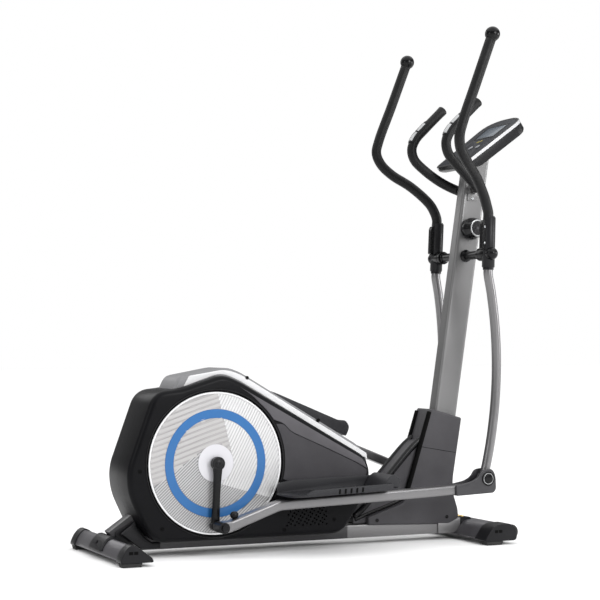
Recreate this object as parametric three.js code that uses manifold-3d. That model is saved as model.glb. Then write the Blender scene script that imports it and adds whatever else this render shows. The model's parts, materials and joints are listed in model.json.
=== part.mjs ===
// Rear-drive elliptical trainer. Millimetres, +X forward (towards the console), +Y to the user's left,
// +Z up, floor at z = 0, left-right symmetry plane at y = 0.
import * as THREE from "three";
import { mergeVertices } from "three/addons/utils/BufferGeometryUtils.js";
import Module from "manifold-3d";

const wasm = await Module();
wasm.setup();

// ---------------------------------------------------------------- driving dimensions

const RIGHT = -1;
const LEFT = 1;
const GAP = 0.3; // between pieces that touch
const RUN = 0.5; // running clearance of a turning piece, on the radius

// Crank, pedal arms and swing arms: one four-bar linkage on each side.
const CRANK_X = -376;
const CRANK_Z = 277;
const CRANK_RADIUS = 186;
const CRANK_REST_TILT = 2.8; // degrees the right crank hangs behind straight down
const UPPER_PIVOT_X = 540;
const UPPER_PIVOT_Z = 926;
const SWING_ARM_LENGTH = 720;
const PEDAL_ARM_LENGTH = 911;

const HOUSING_HALF_WIDTH = 97;
const CRANK_AXLE_RADIUS = 10;
const CRANK_ARM_INNER_Y = HOUSING_HALF_WIDTH + 6;
const CRANK_ARM_THICKNESS = 18;
const CRANK_ARM_OUTER_Y = CRANK_ARM_INNER_Y + CRANK_ARM_THICKNESS;
const CRANK_ARM_WIDTH = 25;
const CRANK_HUB_RADIUS = 20;
const PIN_SPLIT = 2; // free space left at the open crank-pin pivot
const ARM_Y = CRANK_ARM_OUTER_Y + 47; // plane of the swing arms and the pedal-arm tubes

const BEAM_BOTTOM = 21;
const BEAM_HEIGHT = 40;
const BEAM_WIDTH = 80;
const BEAM_WALL = 3;

const MAST_DEPTH = 83;
const MAST_WIDTH = 48;
const MAST_CORNER = 20;
const MAST_WALL = 2.5;
const MAST_LEAN = 8.7; // degrees
const MAST_FOOT_X = 402;
const MAST_TOP_Z = 1232;

const HOUSING_WALL = 3.5;
const HOUSING_EDGE = 16; // bevel round the side panels
const DISC_RADIUS = 215;
const DISC_RECESS = 9;
const DISC_THICKNESS = 5;
const DISC_EDGE_CLEARANCE = 4;
const SPINE_HALF_WIDTH = 66;
const SPINE_RISE = 30;

const PULLEY_RADIUS = 150;
const FLYWHEEL_X = -62;
const FLYWHEEL_Z = 192;
const FLYWHEEL_RADIUS = 125;
const FLYWHEEL_THICKNESS = 24;
const FLYWHEEL_HUB_RADIUS = 25;
const FLYWHEEL_AXLE_RADIUS = 8;
const BELT_Y = 36;
const BELT_WIDTH = 14;
const BELT_THICKNESS = 4;
const IDLER_RADIUS = 20;

const STABILIZER_HALF_LENGTH = 245;
const STABILIZER_HEIGHT = 48;
const STABILIZER_BASE = 15;
const CAP_WALL = 3;
const REAR_CAP_LENGTH = 44;
const FRONT_CAP_LENGTH = 69;
const REAR_STABILIZER_X = -725;
const REAR_STABILIZER_DEPTH = 95;
const FRONT_STABILIZER_X = 481;
const FRONT_STABILIZER_DEPTH = 112;
const FOOT_LENGTH = 62;
const WHEEL_RADIUS = 24;
const WHEEL_WIDTH = 26;
const WHEEL_AXLE_RADIUS = 4;

const HANDLE_RADIUS = 16.5;
const HANDLE_SPREAD = ARM_Y + 119; // distance of each grip from the centre plane
const HANDLE_RISE = 685; // knob centre above the upper pivot
const SWING_TUBE_RADIUS = 15;
const SWING_TUBE_BORE = 12.5;
const SWING_TUBE_BOW = 39;
const SLEEVE_RADIUS = 20.5;
const SLEEVE_TOP = 118;
const SLEEVE_BOTTOM = -52;
const PIVOT_AXLE_RADIUS = 13.5;
const PIVOT_BARREL_INNER_Y = ARM_Y - 50;

const ARM_TUBE_WIDTH = 40;
const ARM_TUBE_HEIGHT = 30;
const ARM_TUBE_WALL = 2.5;
const PEDAL_INNER_Y = CRANK_ARM_OUTER_Y + 4;
const PEDAL_WIDTH = 145;
const PEDAL_LENGTH = 364;
const PEDAL_FLOOR = 6;
const PEDAL_INNER_WALL = 34;
const PEDAL_OUTER_WALL = 14;
const PEDAL_STAND_OFF = 12; // pedal underside above the arm tube

const FIXED_GRIP_RADIUS = 16;
const FIXED_BAR_RADIUS = 11;
const FIXED_BAR_BORE = 8.5;
const FIXED_GRIP_SPREAD = 114;

const CONSOLE_HALF_WIDTH = 112;
const CONSOLE_LENGTH = 282;
const CONSOLE_THICKNESS = 43;
const CONSOLE_TILT = 36.5; // degrees, rising to the front
const CONSOLE_FACE_DEPTH = 4;

const KNOB_RADIUS = 36;
const KNOB_FACE_RADIUS = 29;
const KNOB_HEIGHT = 50;
const KNOB_Z = 1016;

// ---------------------------------------------------------------- solids

const rad = THREE.MathUtils.degToRad;
const CORNER_STEPS = 3; // segments round a corner

// A closed three.js geometry as a manifold-3d solid.
function solid(geometry) {
  const bare = geometry.clone();
  bare.deleteAttribute("normal");
  bare.deleteAttribute("uv");
  const merged = mergeVertices(bare, 1e-3);
  const vertProperties = new Float32Array(merged.attributes.position.array);
  const triVerts = new Uint32Array(merged.index.array);
  return new wasm.Manifold(new wasm.Mesh({ numProp: 3, vertProperties, triVerts }));
}

function geometryOf(body) {
  const { vertProperties, triVerts } = body.getMesh();
  const geometry = new THREE.BufferGeometry();
  geometry.setAttribute("position", new THREE.BufferAttribute(new Float32Array(vertProperties), 3));
  geometry.setIndex(new THREE.BufferAttribute(new Uint32Array(triVerts), 1));
  const faceted = geometry.toNonIndexed();
  faceted.computeVertexNormals();
  return faceted;
}

const join = (first, ...others) => others.reduce((sum, part) => sum.add(part), first);
const cut = (first, ...others) => others.reduce((rest, part) => rest.subtract(part), first);

function block(x0, x1, y0, y1, z0, z1) {
  const geometry = new THREE.BoxGeometry(x1 - x0, Math.abs(y1 - y0), z1 - z0);
  return solid(geometry.translate((x0 + x1) / 2, (y0 + y1) / 2, (z0 + z1) / 2));
}

// A closed outline whose corners [u, v, radius] are rounded by a curve tangent to both sides.
function outline(corners) {
  const shape = new THREE.Shape();
  corners.forEach(([u, v, radius = 0], i) => {
    const corner = new THREE.Vector2(u, v);
    const before = new THREE.Vector2(...corners.at(i - 1));
    const after = new THREE.Vector2(...corners[(i + 1) % corners.length]);
    const reach = Math.min(radius, corner.distanceTo(before) * 0.48, corner.distanceTo(after) * 0.48);
    const enter = corner.clone().add(before.sub(corner).setLength(reach));
    const leave = corner.clone().add(after.sub(corner).setLength(reach));
    if (i === 0) shape.moveTo(enter.x, enter.y);
    else shape.lineTo(enter.x, enter.y);
    if (reach > 0) shape.quadraticCurveTo(u, v, leave.x, leave.y);
  });
  shape.closePath();
  return shape;
}

function circle(u, v, radius) {
  const shape = new THREE.Shape();
  shape.absarc(u, v, radius, 0, 2 * Math.PI);
  return shape;
}

// The same corners moved inwards by a wall, for an outline that runs anticlockwise.
function inset(corners, wall) {
  return corners.map(([u, v, radius = 0], i) => {
    const corner = new THREE.Vector2(u, v);
    const before = new THREE.Vector2(...corners.at(i - 1));
    const after = new THREE.Vector2(...corners[(i + 1) % corners.length]);
    const along = corner.clone().sub(before).normalize();
    const onward = after.clone().sub(corner).normalize();
    const normal = new THREE.Vector2(-along.y - onward.y, along.x + onward.x).normalize();
    const slant = normal.x * -along.y + normal.y * along.x;
    corner.addScaledVector(normal, wall / slant);
    return [corner.x, corner.y, radius > 0 ? Math.max(radius - wall, 0.5) : 0];
  });
}

const AXIS_X = new THREE.Vector3(1, 0, 0);
const AXIS_Y = new THREE.Vector3(0, 1, 0);
const AXIS_Z = new THREE.Vector3(0, 0, 1);

// Corners, or a finished shape, as a shape.
const shapeOf = (form) => (Array.isArray(form) ? outline(form) : form);

// The points round an outline, without a repeated end point.
function ring(corners) {
  const points = outline(corners).getPoints(CORNER_STEPS);
  if (points[0].distanceTo(points.at(-1)) < 1e-6) points.pop();
  return points;
}

// Corners in the XZ plane, anticlockwise, as a plate between two Y planes whose rims are chamfered.
function bevelledPlate(corners, low, high, bevel) {
  const wide = ring(corners);
  const narrow = ring(inset(corners, bevel));
  const rings = [
    [narrow, low],
    [wide, low + bevel],
    [wide, high - bevel],
    [narrow, high],
  ];
  const count = wide.length;
  const positions = rings.flatMap(([points, y]) => points.flatMap((p) => [p.x, y, p.y]));
  const index = [];
  for (let k = 0; k < rings.length - 1; k += 1) {
    for (let i = 0; i < count; i += 1) {
      const here = k * count + i;
      const next = k * count + ((i + 1) % count);
      index.push(here, here + count, next, next, here + count, next + count);
    }
  }
  const last = (rings.length - 1) * count;
  for (const [a, b, c] of THREE.ShapeUtils.triangulateShape(narrow, [])) {
    index.push(a, b, c, last + a, last + c, last + b);
  }
  const geometry = new THREE.BufferGeometry();
  geometry.setAttribute("position", new THREE.Float32BufferAttribute(positions, 3));
  geometry.setIndex(index);
  return solid(geometry);
}

// An outline in the XZ plane, extruded along Y between two planes, with an optional bevel at both ends.
function sidePlate(form, ya, yb, bevel = 0, curveSegments = CORNER_STEPS) {
  const low = Math.min(ya, yb);
  const high = Math.max(ya, yb);
  if (bevel > 0) return bevelledPlate(form, low, high, bevel);
  const settings = { depth: high - low, curveSegments, bevelEnabled: false };
  const geometry = new THREE.ExtrudeGeometry(shapeOf(form), settings);
  geometry.applyMatrix4(new THREE.Matrix4().makeBasis(AXIS_X, AXIS_Z, AXIS_Y.clone().negate()));
  return solid(geometry.translate(0, high, 0));
}

// The corners of a straight strip of one width between two points.
function strip([ua, va], [ub, vb], width) {
  const length = Math.hypot(ub - ua, vb - va);
  const du = (-(vb - va) / length) * (width / 2);
  const dv = ((ub - ua) / length) * (width / 2);
  return [
    [ua - du, va - dv],
    [ub - du, vb - dv],
    [ub + du, vb + dv],
    [ua + du, va + dv],
  ];
}

// An outline in the XY plane, extruded upwards.
function floorPlate(form, z0, z1) {
  const settings = { depth: z1 - z0, bevelEnabled: false, curveSegments: CORNER_STEPS };
  return solid(new THREE.ExtrudeGeometry(shapeOf(form), settings).translate(0, 0, z0));
}

// A cylinder lying along Y.
function rod(x, z, radius, ya, yb, segments = 18) {
  const geometry = new THREE.CylinderGeometry(radius, radius, Math.abs(yb - ya), segments);
  return solid(geometry.translate(x, (ya + yb) / 2, z));
}

// The space of a hole along Y that a round piece of the given radius fits through.
function bore(x, z, radius, ya, yb, segments = 18) {
  return rod(x, z, radius / Math.cos(Math.PI / segments), ya, yb, segments);
}

// A profile of [radius, distance] points, from low to high, turned about a Y axis through (x, z).
function turned(x, z, profile, side = LEFT, segments = 40) {
  const points = profile.map(([radius, distance]) => new THREE.Vector2(radius, distance));
  const geometry = new THREE.LatheGeometry(points, segments);
  if (side === RIGHT) geometry.rotateX(Math.PI);
  return solid(geometry.translate(x, 0, z));
}

// A round bar or, with a bore, a round sleeve along a smooth curve.
function bar(curve, radius, steps, sides = 12, bore = 0) {
  const section = circle(0, 0, radius);
  if (bore > 0) section.holes.push(circle(0, 0, bore));
  const settings = { steps, extrudePath: curve, bevelEnabled: false, curveSegments: sides };
  return solid(new THREE.ExtrudeGeometry(section, settings));
}

const smooth = (points) => new THREE.CatmullRomCurve3(points.map((p) => new THREE.Vector3(...p)), false, "centripetal");

// ---------------------------------------------------------------- scene graph

const trainer = new THREE.Group();

const FINISH = {
  charcoal: { color: 0x2b2b2e, roughness: 0.55, metalness: 0 },
  black: { color: 0x141416, roughness: 0.5, metalness: 0 },
  foam: { color: 0x101012, roughness: 0.9, metalness: 0 },
  rubber: { color: 0x0c0c0c, roughness: 0.85, metalness: 0 },
  paintedGrey: { color: 0x5a5a5d, roughness: 0.4, metalness: 0.6 },
  paleGrey: { color: 0x8a8a8c, roughness: 0.42, metalness: 0.5 },
  silver: { color: 0xd8d8dc, roughness: 0.28, metalness: 0.3 },
  disc: { color: 0xc9c9cc, roughness: 0.35, metalness: 0.2 },
  steel: { color: 0x9fa2a6, roughness: 0.3, metalness: 1 },
  chrome: { color: 0xcfd2d6, roughness: 0.12, metalness: 1 },
  castIron: { color: 0x47494c, roughness: 0.5, metalness: 0.9 },
  face: { color: 0x23252c, roughness: 0.35, metalness: 0 },
  lens: { color: 0x59626c, roughness: 0.1, metalness: 0 },
  button: { color: 0x8d9096, roughness: 0.5, metalness: 0 },
};

function place(name, body, finish, group = trainer) {
  const mesh = new THREE.Mesh(geometryOf(body), new THREE.MeshStandardMaterial(FINISH[finish]));
  mesh.name = name;
  group.add(mesh);
}

const sideName = (side) => (side === RIGHT ? "right" : "left");

// A group that is turned about the Y axis, with its origin on a pivot.
function pivotGroup(x, z, angle, parent = trainer) {
  const group = new THREE.Group();
  group.position.set(x, 0, z);
  group.rotation.y = angle;
  parent.add(group);
  return group;
}

// ---------------------------------------------------------------- linkage

// Where one side's crank pin stands, and the two angles of its linkage. An angle turns about +Y.
function linkage(side) {
  const angle = rad(CRANK_REST_TILT);
  const pinX = CRANK_X + side * CRANK_RADIUS * Math.sin(angle);
  const pinZ = CRANK_Z + side * CRANK_RADIUS * Math.cos(angle);
  const dx = UPPER_PIVOT_X - pinX;
  const dz = UPPER_PIVOT_Z - pinZ;
  const span = Math.hypot(dx, dz);
  const along = (PEDAL_ARM_LENGTH ** 2 - SWING_ARM_LENGTH ** 2 + span ** 2) / (2 * span);
  const across = Math.sqrt(PEDAL_ARM_LENGTH ** 2 - along ** 2);
  const lowerX = pinX + (along * dx + across * dz) / span;
  const lowerZ = pinZ + (along * dz - across * dx) / span;
  const swing = Math.asin((UPPER_PIVOT_X - lowerX) / SWING_ARM_LENGTH);
  const tilt = -Math.asin((lowerZ - pinZ) / PEDAL_ARM_LENGTH);
  return { pinX, pinZ, swing, tilt };
}

// ---------------------------------------------------------------- frame

const mastLean = rad(MAST_LEAN);
const mastX = (z) => MAST_FOOT_X + z * Math.tan(mastLean);
const BEAM_TOP = BEAM_BOTTOM + BEAM_HEIGHT;
const BEAM_REAR = -590;
const BEAM_FRONT = FRONT_STABILIZER_X - 12;
const POST_HALF_WIDTH = 22;
const SHELL_RADIUS = 24;
const BEARING_RADIUS = 19;
const SHELL_HALF_LENGTH = 22;
const FORK_INNER = 26;
const FORK_PLATE = 6;

// The fin-shaped section of a stabilizer, from its bottom rear corner; the long slope faces forward.
function finCorners(x, depth, height, base) {
  return [
    [x, base, 8],
    [x + depth, base, 6],
    [x + depth * 0.97, base + height * 0.16, 12],
    [x + depth * 0.36, base + height + 3, 26],
    [x + depth * 0.12, base + height * 0.62, 30],
  ];
}

const REAR_FIN = finCorners(REAR_STABILIZER_X, REAR_STABILIZER_DEPTH, STABILIZER_HEIGHT, STABILIZER_BASE);
const FRONT_FIN = [
  [FRONT_STABILIZER_X, STABILIZER_BASE, 8],
  [FRONT_STABILIZER_X + FRONT_STABILIZER_DEPTH, STABILIZER_BASE, 10],
  [FRONT_STABILIZER_X + FRONT_STABILIZER_DEPTH, STABILIZER_BASE + 30, 14],
  [FRONT_STABILIZER_X + FRONT_STABILIZER_DEPTH - 18, STABILIZER_BASE + STABILIZER_HEIGHT, 16],
  [FRONT_STABILIZER_X + 34, STABILIZER_BASE + STABILIZER_HEIGHT, 22],
];

function mainFrame() {
  const half = BEAM_WIDTH / 2;
  const beam = cut(
    block(BEAM_REAR, BEAM_FRONT, -half, half, BEAM_BOTTOM, BEAM_TOP),
    block(
      BEAM_REAR - 1, BEAM_FRONT + 1,
      -half + BEAM_WALL, half - BEAM_WALL,
      BEAM_BOTTOM + BEAM_WALL, BEAM_TOP - BEAM_WALL,
    ),
  );
  const support = cut(
    sidePlate(
      strip([REAR_STABILIZER_X + 47, STABILIZER_BASE + STABILIZER_HEIGHT - 1], [CRANK_X - 10, CRANK_Z - 14], 36),
      -POST_HALF_WIDTH,
      POST_HALF_WIDTH,
    ),
    sidePlate(inset(REAR_FIN, -GAP), -STABILIZER_HALF_LENGTH, STABILIZER_HALF_LENGTH),
  );
  const post = sidePlate(
    [
      [CRANK_X - 52, BEAM_TOP - 1],
      [CRANK_X + 52, BEAM_TOP - 1],
      [CRANK_X + 18, CRANK_Z],
      [CRANK_X - 18, CRANK_Z],
    ],
    -SHELL_HALF_LENGTH + 4,
    SHELL_HALF_LENGTH - 4,
  );
  const shell = rod(CRANK_X, CRANK_Z, SHELL_RADIUS, -SHELL_HALF_LENGTH, SHELL_HALF_LENGTH);
  const shellBore = bore(CRANK_X, CRANK_Z, BEARING_RADIUS + GAP, -SHELL_HALF_LENGTH - 1, SHELL_HALF_LENGTH + 1);
  const forkOutline = [
    [FLYWHEEL_X - 45, BEAM_TOP - 1],
    [FLYWHEEL_X + 45, BEAM_TOP - 1],
    [FLYWHEEL_X + 16, FLYWHEEL_Z + 14, 12],
    [FLYWHEEL_X - 16, FLYWHEEL_Z + 14, 12],
  ];
  const reach = FLYWHEEL_THICKNESS / 2 + 8;
  const forkRight = sidePlate(forkOutline, -reach - FORK_PLATE, -reach);
  const forkLeft = sidePlate(forkOutline, BELT_Y + 14, BELT_Y + 14 + FORK_PLATE);
  const foot = block(FLYWHEEL_X - 45, FLYWHEEL_X + 45, 0, BELT_Y + 14 + FORK_PLATE, BEAM_TOP - 1, BEAM_TOP + 4);
  const axle = rod(FLYWHEEL_X, FLYWHEEL_Z, FLYWHEEL_AXLE_RADIUS, -reach - 8, BELT_Y + 22);
  const idlerAxle = rod(IDLER_X, IDLER_Z, 5, FORK_INNER - 3, BELT_Y + BELT_WIDTH / 2 + 3);
  const idlerArm = sidePlate(
    [
      [IDLER_X - 9, IDLER_Z + 10, 6],
      [IDLER_X - 14, BEAM_TOP - 1],
      [IDLER_X + 26, BEAM_TOP - 1],
      [IDLER_X + 9, IDLER_Z + 10, 6],
    ],
    FORK_INNER - 8,
    FORK_INNER - 2,
  );
  const brakePost = sidePlate(
    [
      [BRAKE_X - 22, BEAM_TOP - 1],
      [BRAKE_X + 10, BEAM_TOP - 1],
      [BRAKE_X + 9, BRAKE_Z + 8, 6],
      [BRAKE_X - 9, BRAKE_Z + 8, 6],
    ],
    -30,
    -25,
  );
  const brakePin = rod(BRAKE_X, BRAKE_Z, 5, -26, 19);
  const saddle = cut(
    sidePlate(
      [
        [FRONT_STABILIZER_X - 60, BEAM_BOTTOM],
        [FRONT_STABILIZER_X - 4, BEAM_BOTTOM],
        [FRONT_STABILIZER_X + 62, STABILIZER_BASE + STABILIZER_HEIGHT - 8],
        [FRONT_STABILIZER_X + 60, STABILIZER_BASE + STABILIZER_HEIGHT + 5, 3],
        [FRONT_STABILIZER_X + 22, STABILIZER_BASE + STABILIZER_HEIGHT + 7, 14],
        [FRONT_STABILIZER_X - 26, BEAM_TOP - 4, 10],
        [FRONT_STABILIZER_X - 60, BEAM_TOP - 4],
      ],
      -half - 8,
      half + 8,
    ),
    sidePlate(inset(FRONT_FIN, -GAP), -STABILIZER_HALF_LENGTH, STABILIZER_HALF_LENGTH),
  );
  const mastSocket = block(mastX(BEAM_TOP) - 52, mastX(BEAM_TOP) + 46, -30, 30, BEAM_TOP - 1, MAST_BASE_Z - GAP);
  return cut(
    join(
      beam, support, post, shell, forkRight, forkLeft, foot, axle,
      idlerAxle, idlerArm, brakePost, brakePin, saddle, mastSocket,
    ),
    shellBore,
  );
}

const MAST_BASE_Z = BEAM_TOP + 8;

// The mast's own frame: its axis is z, its depth runs along x, and it is turned forward by the lean.
function mastFrame(body) {
  return body.rotate([0, MAST_LEAN, 0]).translate([MAST_FOOT_X, 0, 0]);
}

function mast() {
  const half = MAST_DEPTH / 2;
  const side = MAST_WIDTH / 2;
  const corners = [
    [-half, -side, MAST_CORNER],
    [half, -side, MAST_CORNER],
    [half, side, MAST_CORNER],
    [-half, side, MAST_CORNER],
  ];
  const low = MAST_BASE_Z / Math.cos(mastLean) - 20;
  const high = (MAST_TOP_Z + 40) / Math.cos(mastLean);
  const tube = mastFrame(
    cut(
      floorPlate(corners, low, high),
      floorPlate(inset(corners, MAST_WALL), low - 1, high + 1),
    ),
  );
  const ends = [
    block(0, 1200, -100, 100, -100, MAST_BASE_Z),
    consoleFrame(block(-400, 400, -200, 200, -CONSOLE_THICKNESS - GAP, 400)),
  ];
  const pivotHole = bore(UPPER_PIVOT_X, UPPER_PIVOT_Z, PIVOT_AXLE_RADIUS + GAP, -60, 60);
  const barHole = bore(FIXED_BAR_X, FIXED_BAR_Z, FIXED_BAR_RADIUS + 2 * GAP, -60, 60);
  const knobHole = bore(mastX(KNOB_Z), KNOB_Z, 8, -60, 0);
  return cut(tube, ...ends, pivotHole, barHole, knobHole);
}

function stabilizer(corners, length) {
  return cut(
    sidePlate(corners, -length, length),
    sidePlate(inset(corners, 2.5), -length - 1, length + 1),
  );
}

// A hollow plastic end cap, closed at its outer end, around the end of a stabilizer tube.
function stabilizerCap(corners, side, capLength) {
  const outer = inset(corners, -CAP_WALL);
  outer[0][1] = STABILIZER_BASE - CAP_WALL;
  outer[1][1] = STABILIZER_BASE - CAP_WALL;
  const end = STABILIZER_HALF_LENGTH;
  return cut(
    sidePlate(outer, side * (end - capLength), side * end, 1.5),
    sidePlate(inset(corners, -GAP), side * (end - capLength - 1), side * (end - 6)),
  );
}

const WHEEL_X = FRONT_STABILIZER_X + FRONT_STABILIZER_DEPTH - 8;
const WHEEL_Z = STABILIZER_BASE + 22;
const WHEEL_Y = STABILIZER_HALF_LENGTH - 26;
const FRONT_TUBE_HALF = STABILIZER_HALF_LENGTH - 50;

function frontCap(side) {
  const outer = inset(FRONT_FIN, -CAP_WALL);
  outer[0][1] = STABILIZER_BASE - CAP_WALL;
  outer[1][1] = STABILIZER_BASE - CAP_WALL;
  const end = STABILIZER_HALF_LENGTH;
  const slot = WHEEL_WIDTH / 2 + 2;
  const body = cut(
    sidePlate(outer, side * (end - FRONT_CAP_LENGTH), side * end, 1.5),
    sidePlate(inset(FRONT_FIN, -GAP), side * (end - FRONT_CAP_LENGTH - 1), side * (FRONT_TUBE_HALF + GAP)),
  );
  const well = join(
    rod(WHEEL_X, WHEEL_Z, WHEEL_RADIUS + 4, side * (WHEEL_Y - slot), side * (WHEEL_Y + slot)),
    block(WHEEL_X, WHEEL_X + 60, side * (WHEEL_Y - slot), side * (WHEEL_Y + slot), 0, 90),
  );
  const axleHole = bore(
    WHEEL_X, WHEEL_Z, WHEEL_AXLE_RADIUS + RUN,
    side * (WHEEL_Y - slot - 4), side * (WHEEL_Y + slot + 4), 16,
  );
  return cut(body, well, axleHole);
}

function transportWheel(side) {
  const half = WHEEL_WIDTH / 2;
  const profile = [
    [0, -half - 4],
    [WHEEL_AXLE_RADIUS, -half - 4],
    [WHEEL_AXLE_RADIUS, -half],
    [WHEEL_RADIUS - 3, -half],
    [WHEEL_RADIUS, -half + 3],
    [WHEEL_RADIUS, half - 3],
    [WHEEL_RADIUS - 3, half],
    [WHEEL_AXLE_RADIUS, half],
    [WHEEL_AXLE_RADIUS, half + 4],
    [0, half + 4],
  ];
  return turned(WHEEL_X, WHEEL_Z, profile, LEFT, 16).translate([0, side * WHEEL_Y, 0]);
}

function footPad(x, side) {
  const top = STABILIZER_BASE - CAP_WALL - GAP;
  const corners = [
    [x + 3, 0, 2],
    [x + FOOT_LENGTH - 3, 0, 2],
    [x + FOOT_LENGTH, top, 0],
    [x, top, 0],
  ];
  const end = STABILIZER_HALF_LENGTH;
  return sidePlate(corners, side * (end - 38), side * (end - 3));
}

function rearSaddle() {
  const outer = inset(REAR_FIN, -7);
  const body = sidePlate(outer, -58, 58, 5);
  return cut(
    body,
    sidePlate(inset(REAR_FIN, -GAP), -60, 60),
    block(REAR_STABILIZER_X - 20, REAR_STABILIZER_X + 120, -70, 70, 0, STABILIZER_BASE + 12),
    block(REAR_STABILIZER_X + 34, REAR_STABILIZER_X + 120, -POST_HALF_WIDTH - 1, POST_HALF_WIDTH + 1, 0, 120),
    rod(REAR_STABILIZER_X + 4, STABILIZER_BASE + 34, 7, -7, 7, 16),
  );
}

// ---------------------------------------------------------------- housing

const TOP_EDGE_REAR = [-296, 523];
const TOP_EDGE_FRONT = [134, 282];

// The side panels' outline, anticlockwise from the bottom rear.
const HOUSING_CORNERS = [
  [-560, 45, 30],
  [52, 44, 40],
  [115, 138, 30],
  [152, 226, 26],
  [...TOP_EDGE_FRONT, 26],
  [...TOP_EDGE_REAR, 40],
  [-350, 545, 40],
  [-487, 503, 24],
  [-572, 494, 44],
  [-656, 262, 60],
  [-650, 190, 60],
  [-600, 84, 30],
];

// The bright spine and top cover: it follows the top edge and stands proud of it.
const COVER_CORNERS = [
  [-508, 492, 6],
  [-486, 538, 18],
  [-330, 566, 34],
  [-286, 552, 30],
  [TOP_EDGE_FRONT[0] - 4, TOP_EDGE_FRONT[1] + SPINE_RISE, 24],
  [TOP_EDGE_FRONT[0] + 24, TOP_EDGE_FRONT[1] - 24, 12],
].reverse();

function discRecess(side) {
  return rod(
    CRANK_X, CRANK_Z, DISC_RADIUS + DISC_EDGE_CLEARANCE,
    side * (HOUSING_HALF_WIDTH - DISC_RECESS), side * (HOUSING_HALF_WIDTH + 10), 40,
  );
}

function housingShell(side) {
  const outer = sidePlate(HOUSING_CORNERS, -HOUSING_HALF_WIDTH, HOUSING_HALF_WIDTH, HOUSING_EDGE);
  const room = HOUSING_HALF_WIDTH - DISC_RECESS - HOUSING_WALL;
  const inner = sidePlate(inset(HOUSING_CORNERS, HOUSING_WALL), -room, room, HOUSING_EDGE - 6);
  const otherHalf = block(-800, 300, side * GAP, -side * 200, 0, 700);
  const axleHole = bore(CRANK_X, CRANK_Z, CRANK_AXLE_RADIUS + 4, side * 60, side * 120);
  const beamSlot = block(-700, 300, -BEAM_WIDTH / 2 - 1, BEAM_WIDTH / 2 + 1, 0, BEAM_TOP + 1);
  const supportSlot = block(-700, -560, -POST_HALF_WIDTH - 1, POST_HALF_WIDTH + 1, 40, 170);
  const coverSeat = sidePlate(inset(COVER_CORNERS, -GAP), -SPINE_HALF_WIDTH - GAP, SPINE_HALF_WIDTH + GAP);
  return cut(outer, inner, otherHalf, discRecess(side), axleHole, beamSlot, supportSlot, coverSeat);
}

function topCover() {
  const body = sidePlate(COVER_CORNERS, -SPINE_HALF_WIDTH, SPINE_HALF_WIDTH, 9);
  const hollow = sidePlate(
    inset(HOUSING_CORNERS, HOUSING_WALL),
    -SPINE_HALF_WIDTH + 9 + HOUSING_WALL,
    SPINE_HALF_WIDTH - 9 - HOUSING_WALL,
  );
  const skin = sidePlate(inset(COVER_CORNERS, HOUSING_WALL), -SPINE_HALF_WIDTH + 8, SPINE_HALF_WIDTH - 8);
  return cut(body, hollow, skin);
}

function rearSkirt() {
  const corners = [
    [-598, 26, 4],
    [-536, 25, 2],
    [-536, 44],
    [-562, 43],
    [-588, 62],
    [-606, 84],
    [-616, 106],
    [-661, 72, 6],
  ];
  const width = 52;
  const inner = BEAM_WIDTH / 2 + 0.8;
  const plates = cut(sidePlate(corners, -width, width, 3), block(-700, -500, -inner, inner, 0, 140));
  const web = sidePlate(strip([-635, 54.5], [-599, 29.5], 4), -inner - 4, inner + 4);
  return join(plates, web);
}

// ---------------------------------------------------------------- drive inside the housing

const BELT_INNER = BELT_Y - BELT_WIDTH / 2;
const BELT_OUTER = BELT_Y + BELT_WIDTH / 2;
const IDLER_X = (CRANK_X + FLYWHEEL_X) / 2 + 60;
const BELT_DX = FLYWHEEL_X - CRANK_X;
const BELT_DZ = FLYWHEEL_Z - CRANK_Z;
const BELT_SPAN = Math.hypot(BELT_DX, BELT_DZ);
const BELT_DIRECTION = Math.atan2(BELT_DZ, BELT_DX);
const BELT_WRAP = Math.acos((PULLEY_RADIUS - FLYWHEEL_HUB_RADIUS) / BELT_SPAN);

// A loop round both pulleys at a distance outside their rims.
function beltLoop(offset) {
  const loop = new THREE.Shape();
  const big = PULLEY_RADIUS + offset;
  const small = FLYWHEEL_HUB_RADIUS + offset;
  loop.absarc(CRANK_X, CRANK_Z, big, BELT_DIRECTION + BELT_WRAP, BELT_DIRECTION - BELT_WRAP + 2 * Math.PI);
  loop.absarc(FLYWHEEL_X, FLYWHEEL_Z, small, BELT_DIRECTION - BELT_WRAP, BELT_DIRECTION + BELT_WRAP);
  loop.closePath();
  return loop;
}

// The idler presses on the outside of the belt's lower run, half way along it.
function lowerRunPoint(x, offset) {
  const angle = BELT_DIRECTION - BELT_WRAP;
  const touchX = CRANK_X + (PULLEY_RADIUS + offset) * Math.cos(angle);
  const touchZ = CRANK_Z + (PULLEY_RADIUS + offset) * Math.sin(angle);
  return touchZ + (x - touchX) * Math.tan(angle + Math.PI / 2);
}
const IDLER_Z = lowerRunPoint(IDLER_X, BELT_THICKNESS + GAP + (IDLER_RADIUS + GAP));

const BRAKE_X = FLYWHEEL_X + FLYWHEEL_RADIUS * 0.62 + 20;
const BRAKE_Z = FLYWHEEL_Z - FLYWHEEL_RADIUS + 26;

function driveBelt() {
  const outer = sidePlate(beltLoop(GAP + BELT_THICKNESS), BELT_INNER, BELT_OUTER, 0, 12);
  return cut(outer, sidePlate(beltLoop(GAP + 0.6), BELT_INNER - 1, BELT_OUTER + 1, 0, 12));
}

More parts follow.
